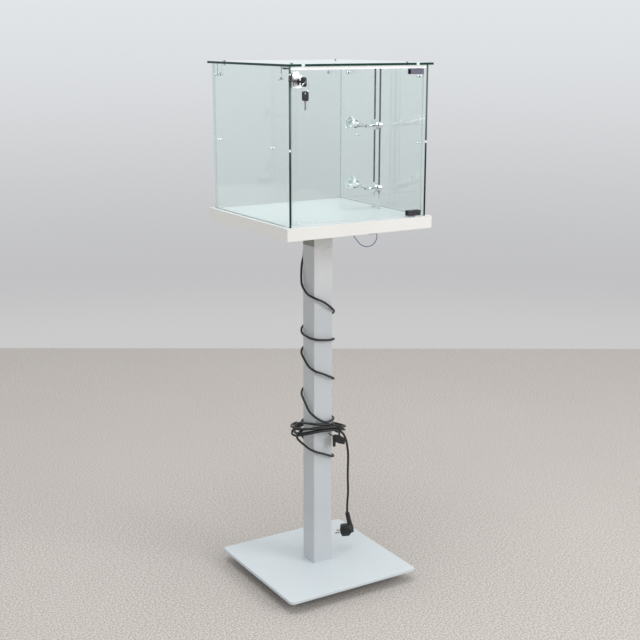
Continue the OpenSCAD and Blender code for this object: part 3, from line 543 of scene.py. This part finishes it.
# Pale spots painted on the edges where fittings touch: painted highlight.
EDGE_GLINTS = [(0, 0.168, 0.009), (0, -0.172, 0.009)]
dress(pane_glass("glass_top", 2, [0, 1], EDGE_GLINTS), "glass_top")
dress(pane_glass("glass_left", 0, [1], [(2, 1.247, 0.006)]), "glass_left")
dress(pane_glass("glass_right", 0, [1], [(2, 1.252, 0.006)], 1.6), "glass_right")
dress(pane_glass("glass_back", 1), "glass_back")
dress(pane_glass("glass_door", 1), "glass_door")
print("panes:", named("glass_"))

# %% [markdown]
# ## Bright metal
# The fittings are chromed. Chrome has hardly a colour of its own, so its finish is a metal with
# a low roughness, and finger marks that roughen it here and there. The hinge clamps are a
# greyer, satin chrome, and the hidden screws and plates are zinc plated.

# %% Metals


def plated(name, color, roughness, marks, grain=0.0):
    f = Finish(name)
    wear = f.noise(140, 4).above(0.55, 0.25)
    streaks = f.noise(500, 3, f.stretched(1, 1, 0.05))
    tone = f.blend(wear * 0.6, color, [c * 0.86 for c in color])
    rough = roughness + marks * wear + grain * streaks
    skin = f.bump(streaks * grain + f.noise(260, 2) * 0.3, 0.00004, 0.5)
    return f.done(f.surface(tone, rough, metallic=1.0, normal=skin))


CHROME_PARTS = ["lock_plug", "lock_keeper", "rod_fittings"]
CHROME_PARTS += ["corner_brackets", "bracket_screws", "shelf_pins", "key_ring"]
CHROME_PARTS += named("spot_clamp") + named("spot_knob")
dress(plated("chrome", rgb(226, 228, 230), 0.10, 0.12), *CHROME_PARTS)
dress(plated("lock_chrome", rgb(240, 241, 242), 0.22, 0.10), "lock_case")
dress(plated("hinge_chrome", rgb(92, 91, 102), 0.22, 0.10, 0.2), "hinge_clamp_upper")
dress(plated("hinge_dark", rgb(72, 72, 76), 0.22, 0.10, 0.2), "hinge_clamp_lower")
ZINC_PARTS = ["castor_mounts", "castor_screws", "column_foot_block", "column_foot_bolts"]
ZINC_PARTS += ["column_head_plate", "tray_screws", "hinge_screws", "hinge_pins", "lock_cam"]
dress(plated("zinc", rgb(178, 180, 182), 0.34, 0.15, 0.3), *ZINC_PARTS)
dress(plated("nickel", rgb(196, 190, 178), 0.22, 0.12, 0.2), "plug_pins")
print("chromed:", len(CHROME_PARTS), "zinc plated:", len(ZINC_PARTS))


def rod_chrome():
    """Chrome that is dark above 1.1 m, but bright low down, over the tray."""
    f = Finish("rod_chrome")
    darker_above = f.z.above(1.10, 0.02) * (0.8 + 0.2 * f.noise(60, 4))
    tone = f.blend(darker_above, rgb(232, 234, 235), rgb(84, 86, 88))
    skin = f.bump(f.noise(300, 2), 0.00003, 0.3)
    return f.done(f.surface(tone, 0.10 + 0.08 * darker_above, metallic=1.0, normal=skin))


dress(rod_chrome(), "light_rods")

# %% [markdown]
# A spot's head is chromed too, but the two clips that hold the lamp are black. They are part of
# the same CAD node, so the finish tells them apart by their distance along the head's axis.

# %% Spot heads
KNUCKLES = {"upper": (141, -24, 1282), "lower": (141, -24, 1111.5)}
TILTS = {"upper": 11, "lower": 23.5}
LAMP_AT = 34


def head_frame(spot):
    """Where a spot's head points: from its knuckle along +X of this frame."""
    turn = Matrix.Rotation(math.radians(180 + TILTS[spot]), 4, "Y")
    return Matrix.Translation(metres(KNUCKLES[spot])) @ turn @ Matrix.Rotation(math.pi, 4, "X")


def spot_finish(spot):
    f = Finish("spot_head_" + spot)
    axis = head_frame(spot).to_3x3() @ Vector((1, 0, 0))
    knuckle = metres(KNUCKLES[spot])
    offset = -knuckle.dot(axis)
    along = f.x * axis.x + f.z * axis.z + offset
    wear = f.noise(140, 4).above(0.55, 0.25)
    clips = along.above((LAMP_AT + 0.1) * MM, 0.0004)
    tone = f.blend(clips, rgb(226, 228, 230), rgb(30, 30, 32))
    skin = f.bump(f.noise(300, 2), 0.00004, 0.3)
    return f.done(
        f.surface(tone, 0.10 + 0.12 * wear + 0.3 * clips, metallic=1 - clips, normal=skin)
    )


for spot in KNUCKLES:
    dress(spot_finish(spot), "spot_head_" + spot)
    print("spot head", spot, "tilted", TILTS[spot])

# %% [markdown]
# ## Plastics and rubber
# Moulded plastic is never one flat tone: a fine texture breaks its shine, and its tone wanders
# paler here and there. The rubber sheath of the cord is duller still and picks up dust.

# %% Moulded finishes


def moulded(name, color, roughness, texture, dust=0.1, coat=0.0):
    f = Finish(name)
    cloud = f.noise(40, 4)
    grain = f.noise(texture, 3)
    specks = f.noise(700, 4).above(0.66, 0.08)
    paler = [min(1, c * 1.5 + 0.012) for c in color]
    tone = f.blend(cloud * 0.6, color, paler)
    tone = f.blend(specks * dust, tone, rgb(170, 166, 160))
    skin = f.bump(grain, 0.00005, 0.5)
    rough = roughness + 0.12 * cloud + 0.1 * specks
    return f.done(f.surface(tone, rough, normal=skin, coat_weight=coat))


FORKS = named("castor_fork")
dress(moulded("black_plastic", rgb(30, 31, 33), 0.42, 900, 0.15), *FORKS, "transformer")
dress(moulded("terminal_plastic", rgb(34, 34, 36), 0.5, 900), "wire_terminals")
dress(moulded("wheel_plastic", rgb(24, 24, 26), 0.3, 500, 0.3, 0.2), *named("castor_wheels"))
dress(moulded("white_plastic", rgb(250, 251, 251), 0.4, 800, 0.03), "head_strip", "hinge_bushes")
dress(moulded("clear_pad", rgb(205, 214, 214), 0.35, 500, 0.05, 0.3), "tray_pad")
dress(moulded("black_rubber", rgb(20, 20, 21), 0.6, 900, 0.2), "head_buffer")
moulded("blue_wire", rgb(48, 84, 124), 0.35, 900, 0.05)
moulded("key_plastic", rgb(28, 28, 31), 0.32, 1200, 0.05)
plated("key_steel", rgb(150, 150, 152), 0.24, 0.15, 0.3)
print("finishes so far:", len(finishes))


def cord_rubber():
    """Rubber sheath: a dull black with a faint wale round it and a little dust."""
    f = Finish("cord_rubber")
    cloud = f.noise(55, 5)
    dust = f.noise(500, 5).above(0.60, 0.2)
    tone = f.blend(cloud, rgb(17, 18, 19), rgb(30, 31, 33))
    tone = f.blend(dust * 0.10, tone, rgb(110, 108, 104))
    skin = f.bump(f.noise(1100, 3), 0.00006, 0.5)
    return f.done(f.surface(tone, 0.36 + 0.2 * cloud, normal=skin))


def hook_and_loop():
    """Strap fabric: rows of tiny loops that stand up from a woven tape."""
    f = Finish("strap_fabric")
    cells = f.node(
        "ShaderNodeTexVoronoi", {}, {"Vector": f.place, "Scale": 900, "Randomness": 0.7}
    )
    rows = {"Vector": f.stretched(1, 1, 1.3), "Scale": 420, "Distortion": 2}
    weave = f.node("ShaderNodeTexWave", {}, rows, 1)
    tone = f.blend(cells * 1.6, rgb(12, 12, 13), rgb(30, 30, 32))
    skin = f.bump(cells + 0.4 * weave, 0.0003, 0.9)
    return f.done(f.surface(tone, 0.9, normal=skin, sheen_weight=0.1))


dress(cord_rubber(), "strain_relief", "plug_body")
dress(hook_and_loop(), "cable_strap")
print("finishes:", len(finishes))

# %% [markdown]
# ## Making pieces
# Three ways of making a mesh cover what CAD shows too plainly. A turned piece is a profile spun
# round an axis. A plate is a flat outline, holes and all, given a thickness and a small bevel by
# a 2-D curve. And any piece is finished the same way: it gets its material, rides on its body
# and stands for its CAD part.

# %% Turned pieces and plates
TILT_TO_X = Matrix.Rotation(math.radians(90), 4, "Y")  # +Z of a turned piece to +X


def add_mesh(name, bm, material, sharp=35):
    """Turn a bmesh into an object, with its edges sharp past that angle."""
    bmesh.ops.remove_doubles(bm, verts=bm.verts, dist=1e-6)
    bmesh.ops.recalc_face_normals(bm, faces=bm.faces)
    for face in bm.faces:
        face.smooth = True
    for edge in bm.edges:
        edge.smooth = len(edge.link_faces) == 2 and edge.calc_face_angle() < math.radians(sharp)
    mesh = bpy.data.meshes.new(name)
    bm.to_mesh(mesh)
    bm.free()
    obj = bpy.data.objects.new(name, mesh)
    scene.collection.objects.link(obj)
    mesh.materials.append(finishes[material])
    return obj


def turn_profile(bm, profile, steps, place):
    """Spin a profile of (radius, height) pairs, in mm, round +Z, and put it in place."""
    rings = []
    for radius, height in profile:
        ring = []
        for k in range(steps if radius > 0 else 1):
            a = 2 * math.pi * k / steps
            spot = Vector((radius * math.cos(a), radius * math.sin(a), height)) * MM
            ring.append(bm.verts.new(place @ spot))
        rings.append(ring)
    for low, high in zip(rings, rings[1:]):
        for k in range(steps):
            n = (k + 1) % steps
            corners = [low[k % len(low)], low[n % len(low)]]
            corners += [high[n % len(high)], high[k % len(high)]]
            corners = [v for i, v in enumerate(corners) if v not in corners[:i]]
            if len(corners) > 2:
                bm.faces.new(corners)


def add_plate(bm, outlines, thickness, bevel, place):
    """Flat outlines in mm as a bevelled plate, centred on its plane. The later ones are holes."""
    data = bpy.data.curves.new("outline", "CURVE")
    data.dimensions = "2D"
    data.fill_mode = "BOTH"
    data.extrude = (thickness / 2 - bevel) * MM
    data.bevel_depth = bevel * MM
    data.bevel_resolution = 2
    data.offset = -bevel * MM
    for outline in outlines:
        spline = data.splines.new("POLY")
        spline.points.add(len(outline) - 1)
        for spot, (x, y) in zip(spline.points, outline):
            spot.co = (x * MM, y * MM, 0, 1)
        spline.use_cyclic_u = True
    holder = bpy.data.objects.new("outline", data)
    scene.collection.objects.link(holder)
    bpy.context.view_layer.update()
    shape = bpy.data.meshes.new_from_object(
        holder.evaluated_get(bpy.context.evaluated_depsgraph_get())
    )
    shape.transform(place)
    bm.from_mesh(shape)
    bpy.data.meshes.remove(shape)
    bpy.data.objects.remove(holder)
    bpy.data.curves.remove(data)


def arc(x, y, radius, start, end, steps):
    """Points on an arc, from one angle to another in degrees."""
    angles = [math.radians(start + (end - start) * k / steps) for k in range(steps + 1)]
    return [(x + radius * math.cos(a), y + radius * math.sin(a)) for a in angles]


def rounded_box(x0, x1, y0, y1, radius, steps=6):
    """Outline of a rectangle with round corners."""
    return (
        arc(x1 - radius, y0 + radius, radius, -90, 0, steps)
        + arc(x1 - radius, y1 - radius, radius, 0, 90, steps)
        + arc(x0 + radius, y1 - radius, radius, 90, 180, steps)
        + arc(x0 + radius, y0 + radius, radius, 180, 270, steps)
    )


def mount(obj, body, slot, *stands_for):
    """The piece rides on a body and may stand for CAD parts, which it hides. slot is not used."""
    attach(obj, body)
    if stands_for:
        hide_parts(*stands_for)
    print(f"{obj.name}: on {body}" + (f", for {stands_for}" if stands_for else ""))
    return obj


# %% [markdown]
# ## Keys
# A key like these has a black plastic bow moulded over a steel blank. The bow is a rounded
# square with a hole for the ring, and the blade is thin, with cuts on one edge. Both are flat
# outlines, so each is a plate with a small bevel.

# %% Two keys
LOCK_X, LOCK_Z, KEY_Y = -187, 1413, -256
BOW_L, BOW_W, BOW_T, BOW_ROUND = 23, 22.5, 3, 4.5
BLADE_L, BLADE_W, BLADE_T = 22, 5.5, 2
HOLE_IN, HOLE_R = 4.8, 3.25
RING_TURN = 10
SPARE_Z = 1386.85 + HOLE_IN
main_place = Matrix.Translation(metres((LOCK_X, KEY_Y, LOCK_Z))) @ Matrix.Rotation(
    math.radians(90), 4, "Z"
)
spare_place = (
    Matrix.Translation(metres((LOCK_X, KEY_Y + HOLE_IN, SPARE_Z)))
    @ Matrix.Rotation(math.radians(RING_TURN - 90), 4, "Z")
    @ Matrix.Rotation(math.radians(90), 4, "Y")
)
UPRIGHT = Matrix.Rotation(math.radians(90), 4, "X")  # outline in X and Y to X and Z


def blade_outline():
    """The blade's side view, with its cuts along the lower edge and a pointed end."""
    half = BLADE_W / 2
    points = [(BOW_L - 1, half), (BOW_L - 1, -half)]
    for k, depth in enumerate((1.3, 1.8, 1.0, 1.6)):
        x = BOW_L + 5 + 4.2 * k
        points += [(x, -half), (x + 1.1, depth - half), (x + 2.1, depth - half), (x + 3.0, -half)]
    end = BOW_L + BLADE_L
    return points + [(end - 0.8, -half), (end, -half + 1.6), (end, 0.6), (end - 2, half)]


def make_key(name, place, body, node):
    bm = bmesh.new()
    hole = arc(HOLE_IN, 0, HOLE_R, 360, 15, 24)
    outline = rounded_box(0, BOW_L, -BOW_W / 2, BOW_W / 2, BOW_ROUND)
    add_plate(bm, [outline, hole], BOW_T, 0.5, place @ UPRIGHT)
    mount(add_mesh(name + "_bow", bm, "key_plastic"), body, "black_plastic", node)
    bm = bmesh.new()
    add_plate(bm, [blade_outline()], BLADE_T, 0.15, place @ UPRIGHT)
    mount(add_mesh(name + "_blade", bm, "key_steel"), body, "chrome")


make_key("lock_key", main_place, "key", "key")
make_key("hanging_key", spare_place, "spare_key", "spare_key")

# %% [markdown]
# ## Lamps
# Each spot holds a small reflector lamp. Its glass back is pressed into facets that throw the
# light forward, a clear disc closes its face, and a tiny capsule sits at its focus. CAD holds it
# as one solid, so here it becomes a hollow reflector, a cover and a capsule on the same axis.

# %% Lamp finishes


def reflector_glass():
    f = Finish("reflector_glass")
    cloud = f.noise(120, 3)
    tone = f.blend(cloud, rgb(242, 247, 248), rgb(254, 255, 255))
    return f.done(f.surface(tone, 0.12 + 0.1 * cloud, metallic=0.4, coat_weight=0.6))


def cover_glass():
    f = Finish("cover_glass")
    clear = f.node("ShaderNodeBsdfTransparent", {}, {"Color": (0.97, 0.99, 0.99)})
    mirror = f.surface((1, 1, 1), 0.02 + 0.04 * f.noise(60), metallic=1.0)
    return f.done(f.mix(f.gleam(), clear, mirror))


reflector_glass()
cover_glass()
moulded("capsule_glass", rgb(238, 242, 242), 0.2, 900, 0.0, 0.5)

# %% Two lamps
OUTSIDE = [(0, 0), (6.5, 0), (6.5, 2.5), (8.2, 4), (8.4, 7), (11, 9.5), (14, 13)]
OUTSIDE += [(16.3, 17.5), (17.2, 21)]
RIM = [(18, 21.5), (18, 24.5), (17, 24.5)]
INSIDE = [(16.6, 23.2), (15.9, 19.6), (14.6, 16.2), (12.6, 13), (9.9, 10.4), (6.6, 8.6)]
INSIDE += [(2.6, 7.8), (0, 7.8)]
COVER = [(0, 24), (16.4, 23.7), (16.4, 23.2), (0, 23.4)]
CAPSULE = [(0, 7.9), (2.5, 7.9), (2.6, 9), (2.4, 14), (2.0, 16), (1.1, 17), (0, 17.3)]
FACETS = 30


def make_lamp(spot):
    place = head_frame(spot) @ Matrix.Translation(metres((LAMP_AT, 0, 0))) @ TILT_TO_X
    bm = bmesh.new()
    turn_profile(bm, OUTSIDE + RIM + INSIDE, FACETS, place)
    obj = add_mesh("lamp_reflector_" + spot, bm, "reflector_glass", sharp=6)
    mount(obj, "lamp_" + spot, "lamp_glass", "spot_lamp_" + spot)
    bm = bmesh.new()
    turn_profile(bm, COVER, 48, place)
    mount(add_mesh("lamp_cover_" + spot, bm, "cover_glass"), "lamp_" + spot, "lamp_glass")
    bm = bmesh.new()
    turn_profile(bm, CAPSULE, 20, place)
    mount(add_mesh("lamp_capsule_" + spot, bm, "capsule_glass"), "lamp_" + spot, "lamp_glass")


for spot in KNUCKLES:
    make_lamp(spot)

# %% [markdown]
# ## Plug, sleeve and strap
# The plug is a right-angled one: a round body with its lower back corner cut off, and a sleeve
# that tapers up to the cord, with a few slits moulded round its end so that it can bend. The
# strap is a hook-and-loop tie round the hank, with both ends hanging loose.

# %% Plug
PLUG_LEAN, PLUG_TURN = 13, 134
PLUG_Z = -53
plug_place = (
    Matrix.Translation(metres(PLUG_TIP))
    @ Matrix.Rotation(math.radians(PLUG_TURN), 4, "Z")
    @ Matrix.Rotation(math.radians(PLUG_LEAN), 4, "Y")
)


def cut_off(bm, point, direction, place):
    """Cut away what lies past a plane, and close the cut."""
    normal = place.to_3x3() @ Vector(direction)
    found = bmesh.ops.bisect_plane(
        bm,
        geom=bm.verts[:] + bm.edges[:] + bm.faces[:],
        plane_co=place @ metres(point),
        plane_no=normal,
        clear_outer=True,
    )
    edges = [g for g in found["geom_cut"] if isinstance(g, bmesh.types.BMEdge)]
    bmesh.ops.contextual_create(bm, geom=edges)


def make_plug():
    bm = bmesh.new()
    across = plug_place @ Matrix.Translation(metres((0, 0, PLUG_Z))) @ TILT_TO_X
    body = [(0, -4), (15.8, -4), (17.8, -3.2), (18.8, -1.2), (18.8, 3), (18.5, 3.3), (18.5, 4.3)]
    body += [(18.8, 4.6), (18.8, 26.4), (18.2, 27.6), (17, 28), (0, 28)]
    turn_profile(bm, body, 64, across)
    cut_off(bm, (-4, 0, PLUG_Z - 5), (-1, 0, -1), plug_place)
    sleeve = [(0, -62), (6.6, -62), (7.2, -61), (7.2, -40)]
    for k in range(3):
        z, r = -14 + 4 * k, 6.5 - 0.1 * k
        sleeve += [(r, z), (r - 0.5, z + 0.3), (r - 0.5, z + 1), (r, z + 1.3)]
    turn_profile(bm, sleeve + [(6.1, -1.2), (5.6, 0), (0, 0)], 32, plug_place)
    return mount(add_mesh("mains_plug", bm, "cord_rubber"), "stand", "cord_rubber", "plug_body")


mains_plug = make_plug()

# %% Cord sleeve at the transformer
SLEEVE_FOOT = (63, 50, 1011)


def make_sleeve():
    """Tapered strain relief, with the same moulded slits."""
    bm = bmesh.new()
    place = Matrix.Translation(metres(SLEEVE_FOOT)) @ Matrix.Rotation(math.radians(-90), 4, "X")
    profile = [(0, 0), (6.5, 0)]
    for k in range(5):
        z, r = 2 + 4.3 * k, 6.3 - 0.36 * k
        profile += [(r, z), (r - 0.6, z + 0.4), (r - 0.6, z + 1.6), (r, z + 2)]
    turn_profile(bm, profile + [(4.6, 24.6), (4.2, 25), (0, 25)], 32, place)
    mount(add_mesh("cord_sleeve", bm, "cord_rubber"), "stand", "cord_rubber", "strain_relief")


make_sleeve()

# %% Strap
STRAP_AT = (39.6, -43.5)


def make_strap():
    bm = bmesh.new()
    ring_place = (
        Matrix.Translation(metres((*STRAP_AT, 0)))
        @ Matrix.Rotation(math.radians(15), 4, "Z")
        @ Matrix.Translation(metres((1, 0, 0)))
        @ Matrix.Rotation(math.radians(90), 4, "Z")
        @ UPRIGHT
    )
    ring = [rounded_box(-10.1, 10.7, 431.3, 453.1, 3), rounded_box(-9, 9.6, 432.4, 452, 2.2)]
    add_plate(bm, ring, 6.8, 0.25, ring_place)
    tails = [
        (-54.1, 2.4, rounded_box(36.6, 41.9, 422, 440, 0.8)),
        (-54.2, 3.4, [
            (25.6, 430.4), (34, 427.8), (42.2, 424), (50, 419), (58.6, 412.8), (58.9, 411),
            (56.6, 396.4), (55.6, 395.6), (48, 398.4), (40.7, 400.8), (32, 404.4), (25.9, 408.2),
        ]),
        (-53.8, 1.7, [
            (16.6, 427.4), (21, 429.6), (25.8, 430.6), (26.9, 418), (27.2, 406), (26.8, 395.4),
            (26, 394.7), (19.3, 394.5), (18.5, 395.2), (17.6, 410),
        ]),
        (-53.9, 1.5, [
            (2.2, 439.8), (2.2, 437.2), (9, 432), (17, 426.4), (18.2, 429.6), (10, 434.6),
        ]),
    ]  # fmt: skip
    for y, thickness, outline in tails:
        place = Matrix.Translation(metres((0, y, 0))) @ UPRIGHT
        add_plate(bm, [outline], thickness, 0.25, place)
    strap = add_mesh("hank_strap", bm, "strap_fabric")
    return mount(strap, "stand", "strap_fabric", "cable_strap")


hank_strap = make_strap()

# %% [markdown]
# It also hides the CAD tubes that the curve stands for.

# %% Cords ride on the stand
mains_cord.data.materials.append(finishes["cord_rubber"])
mount(mains_cord, "stand", "cord_rubber", "cord_wrap", "cord_hank", "cord_drop")
supply_lead.data.materials.append(finishes["blue_wire"])
mount(supply_lead, "stand", "blue_wire", "supply_wire")

# %% [markdown]
# ## Tape
# Under the tray a ring of clear packing tape was torn off. Shreds of it still hang from the
# column: thin scraps, partly see-through, whose near-white film is partly milky tape and partly
# painted highlight. Each is a narrow strip of a few quads, curled away from the paint.

# %% Shreds of tape


def clear_tape():
    f = Finish("clear_tape")
    haze = f.noise(500, 4)
    clear = f.node("ShaderNodeBsdfTransparent", {}, {"Color": (0.99, 0.99, 0.99)})
    # The film's near-white tone is partly milky tape and partly painted highlight.
    film = f.surface(f.blend(haze, rgb(244, 244, 242), rgb(255, 255, 255)), 0.16, coat_weight=1.0)
    return f.done(f.mix(0.6 + 0.4 * haze, clear, film))


clear_tape()


SHRED_STEPS = 6


def tape_shred(bm, start, end, width, curl):
    """A strip from one point to another on the column's front, standing off by curl."""
    a, b = Vector(start), Vector(end)
    side = (b - a).cross(Vector((0, 1, 0))).normalized() * width / 2
    rows = []
    for k in range(SHRED_STEPS + 1):
        t = k / SHRED_STEPS
        off = Vector((0, -0.35 - curl * math.sin(math.pi * t) ** 2 - curl * 0.6 * t, 0))
        taper = 1 - 0.75 * t * t
        middle = a.lerp(b, t) + off
        row = [middle - side * taper, middle + side * taper]
        rows.append([bm.verts.new(v * MM) for v in row])
    for low, high in zip(rows, rows[1:]):
        bm.faces.new((low[0], low[1], high[1], high[0]))


tape = bmesh.new()
SHREDS = [
    ((-30, -30, 957), (-11, -30, 970), 2.6, 3.0), ((-13, -30, 971.5), (-9, -30, 968), 3.2, 1.5),
    ((-22, -30, 953), (-12, -30, 951), 4.5, 0.8), ((-24, -30, 966), (-20, -30, 974), 2.0, 0.6),
    ((5, -30, 954), (16, -30, 959), 3.4, 1.6), ((12, -30, 955), (22, -30, 969), 1.8, 1.2),
    ((15, -30, 958), (26, -30, 961), 3.0, 1.8), ((19, -30, 963), (23, -30, 953), 2.4, 1.4),
    ((24, -30, 938), (25.5, -30, 925), 2.2, 1.2), ((20, -30, 941), (18, -30, 930), 1.4, 0.5),
]  # fmt: skip
for shred in SHREDS:
    tape_shred(tape, *shred)
tape_piece = add_mesh("tape_shreds", tape, "clear_tape")
thicken = tape_piece.modifiers.new("film", "SOLIDIFY")
thicken.thickness = 0.15 * MM
mount(tape_piece, "stand", "clear_glass")

# %% [markdown]
# ## Floor, light and air
# The floor is a plain square that ends where the photograph's wall begins. What lies past it is
# the world's colour, which the camera, mirrors and glass all see alike. The light itself is
# soft: a bright room all round, a large lamp high in front on the right, which leaves the left
# faces darker, and a weaker one above.

# %% Stage
FLOOR_SIDE, FLOOR_NEAR, FLOOR_FAR = 6, -3.6, 2.48


def stage_floor():
    f = Finish("floor")
    cloud = f.noise(1.6, 3)
    grains = f.noise(200, 3)
    tone = f.blend(cloud, rgb(178, 172, 167), rgb(186, 181, 176))
    tone = f.blend(grains.above(0.56, 0.2) * 0.8, tone, rgb(209, 203, 198))
    tone = f.blend((1 - grains).above(0.56, 0.2) * 0.8, tone, rgb(150, 144, 139))
    return f.done(f.surface(tone, 0.75))


bm = bmesh.new()
turn = Matrix.Rotation(-heading, 4, "Z")
corners = [(-FLOOR_SIDE, FLOOR_NEAR), (FLOOR_SIDE, FLOOR_NEAR)]
corners += [(FLOOR_SIDE, FLOOR_FAR), (-FLOOR_SIDE, FLOOR_FAR)]
bm.faces.new([bm.verts.new(turn @ Vector((x, y, 0))) for x, y in corners])
stage_floor()
floor = add_mesh("floor", bm, "floor")

# %% World and lamps


class WorldFinish(Finish):
    """The same node helpers, on the world's tree."""

    def __init__(self):
        world = bpy.data.worlds.new("studio")
        scene.world = world
        world.use_nodes = True
        self.tree = world.node_tree
        self.tree.nodes.clear()
        where = self.tree.nodes.new("ShaderNodeTexCoord")
        self.place = Value(self, where.outputs["Generated"])
        self.x, self.y, self.z = self.parts(self.place)


air = WorldFinish()
SOFT_LIGHT = 0.75
# Painted shade: the wall is darker in a band low down, a painted shadow line along its foot.
wall = air.blend(air.z.above(-0.22, 0.06), rgb(203, 203, 203), rgb(193, 193, 195))
wall = air.blend(air.z.above(-0.08, 0.28), wall, rgb(227, 230, 233))
rays = air.tree.nodes.new("ShaderNodeLightPath")
seen = [Value(air, rays.outputs[name]) for name in ("Is Camera Ray", "Is Transmission Ray")]
shiny = Value(air, rays.outputs["Is Glossy Ray"])
backdrop = air.node("ShaderNodeBackground", {}, {"Color": wall, "Strength": 1.0})
soft = air.node("ShaderNodeBackground", {}, {"Color": (1.0, 1.0, 1.0), "Strength": SOFT_LIGHT})
towards_eye = air.x * -math.sin(heading) + air.y * -math.cos(heading)
room = air.blend(towards_eye.above(0.86, 0.16), rgb(238, 243, 245), rgb(52, 54, 58))
mirrored = air.node("ShaderNodeBackground", {}, {"Color": room, "Strength": 1.0})
lit = air.mix(shiny, soft, mirrored)
lit = air.mix(seen[0] + seen[1], lit, backdrop)
out = air.tree.nodes.new("ShaderNodeOutputWorld")
air.tree.links.new(lit.socket, out.inputs["Surface"])


def area_light(name, place, target, size, watts):
    """A square lamp that looks at a point."""
    data = bpy.data.lights.new(name, "AREA")
    data.shape = "SQUARE"
    data.size = size
    data.energy = watts
    obj = bpy.data.objects.new(name, data)
    obj.location = place
    obj.rotation_euler = (Vector(target) - Vector(place)).to_track_quat("-Z", "Y").to_euler()
    scene.collection.objects.link(obj)


area_light("key_light", (2.6, -4.2, 2.9), (0, 0, 0.8), 2.2, 112)
area_light("top_light", (-0.4, -0.6, 4.0), (0, 0, 1.0), 2.5, 66)
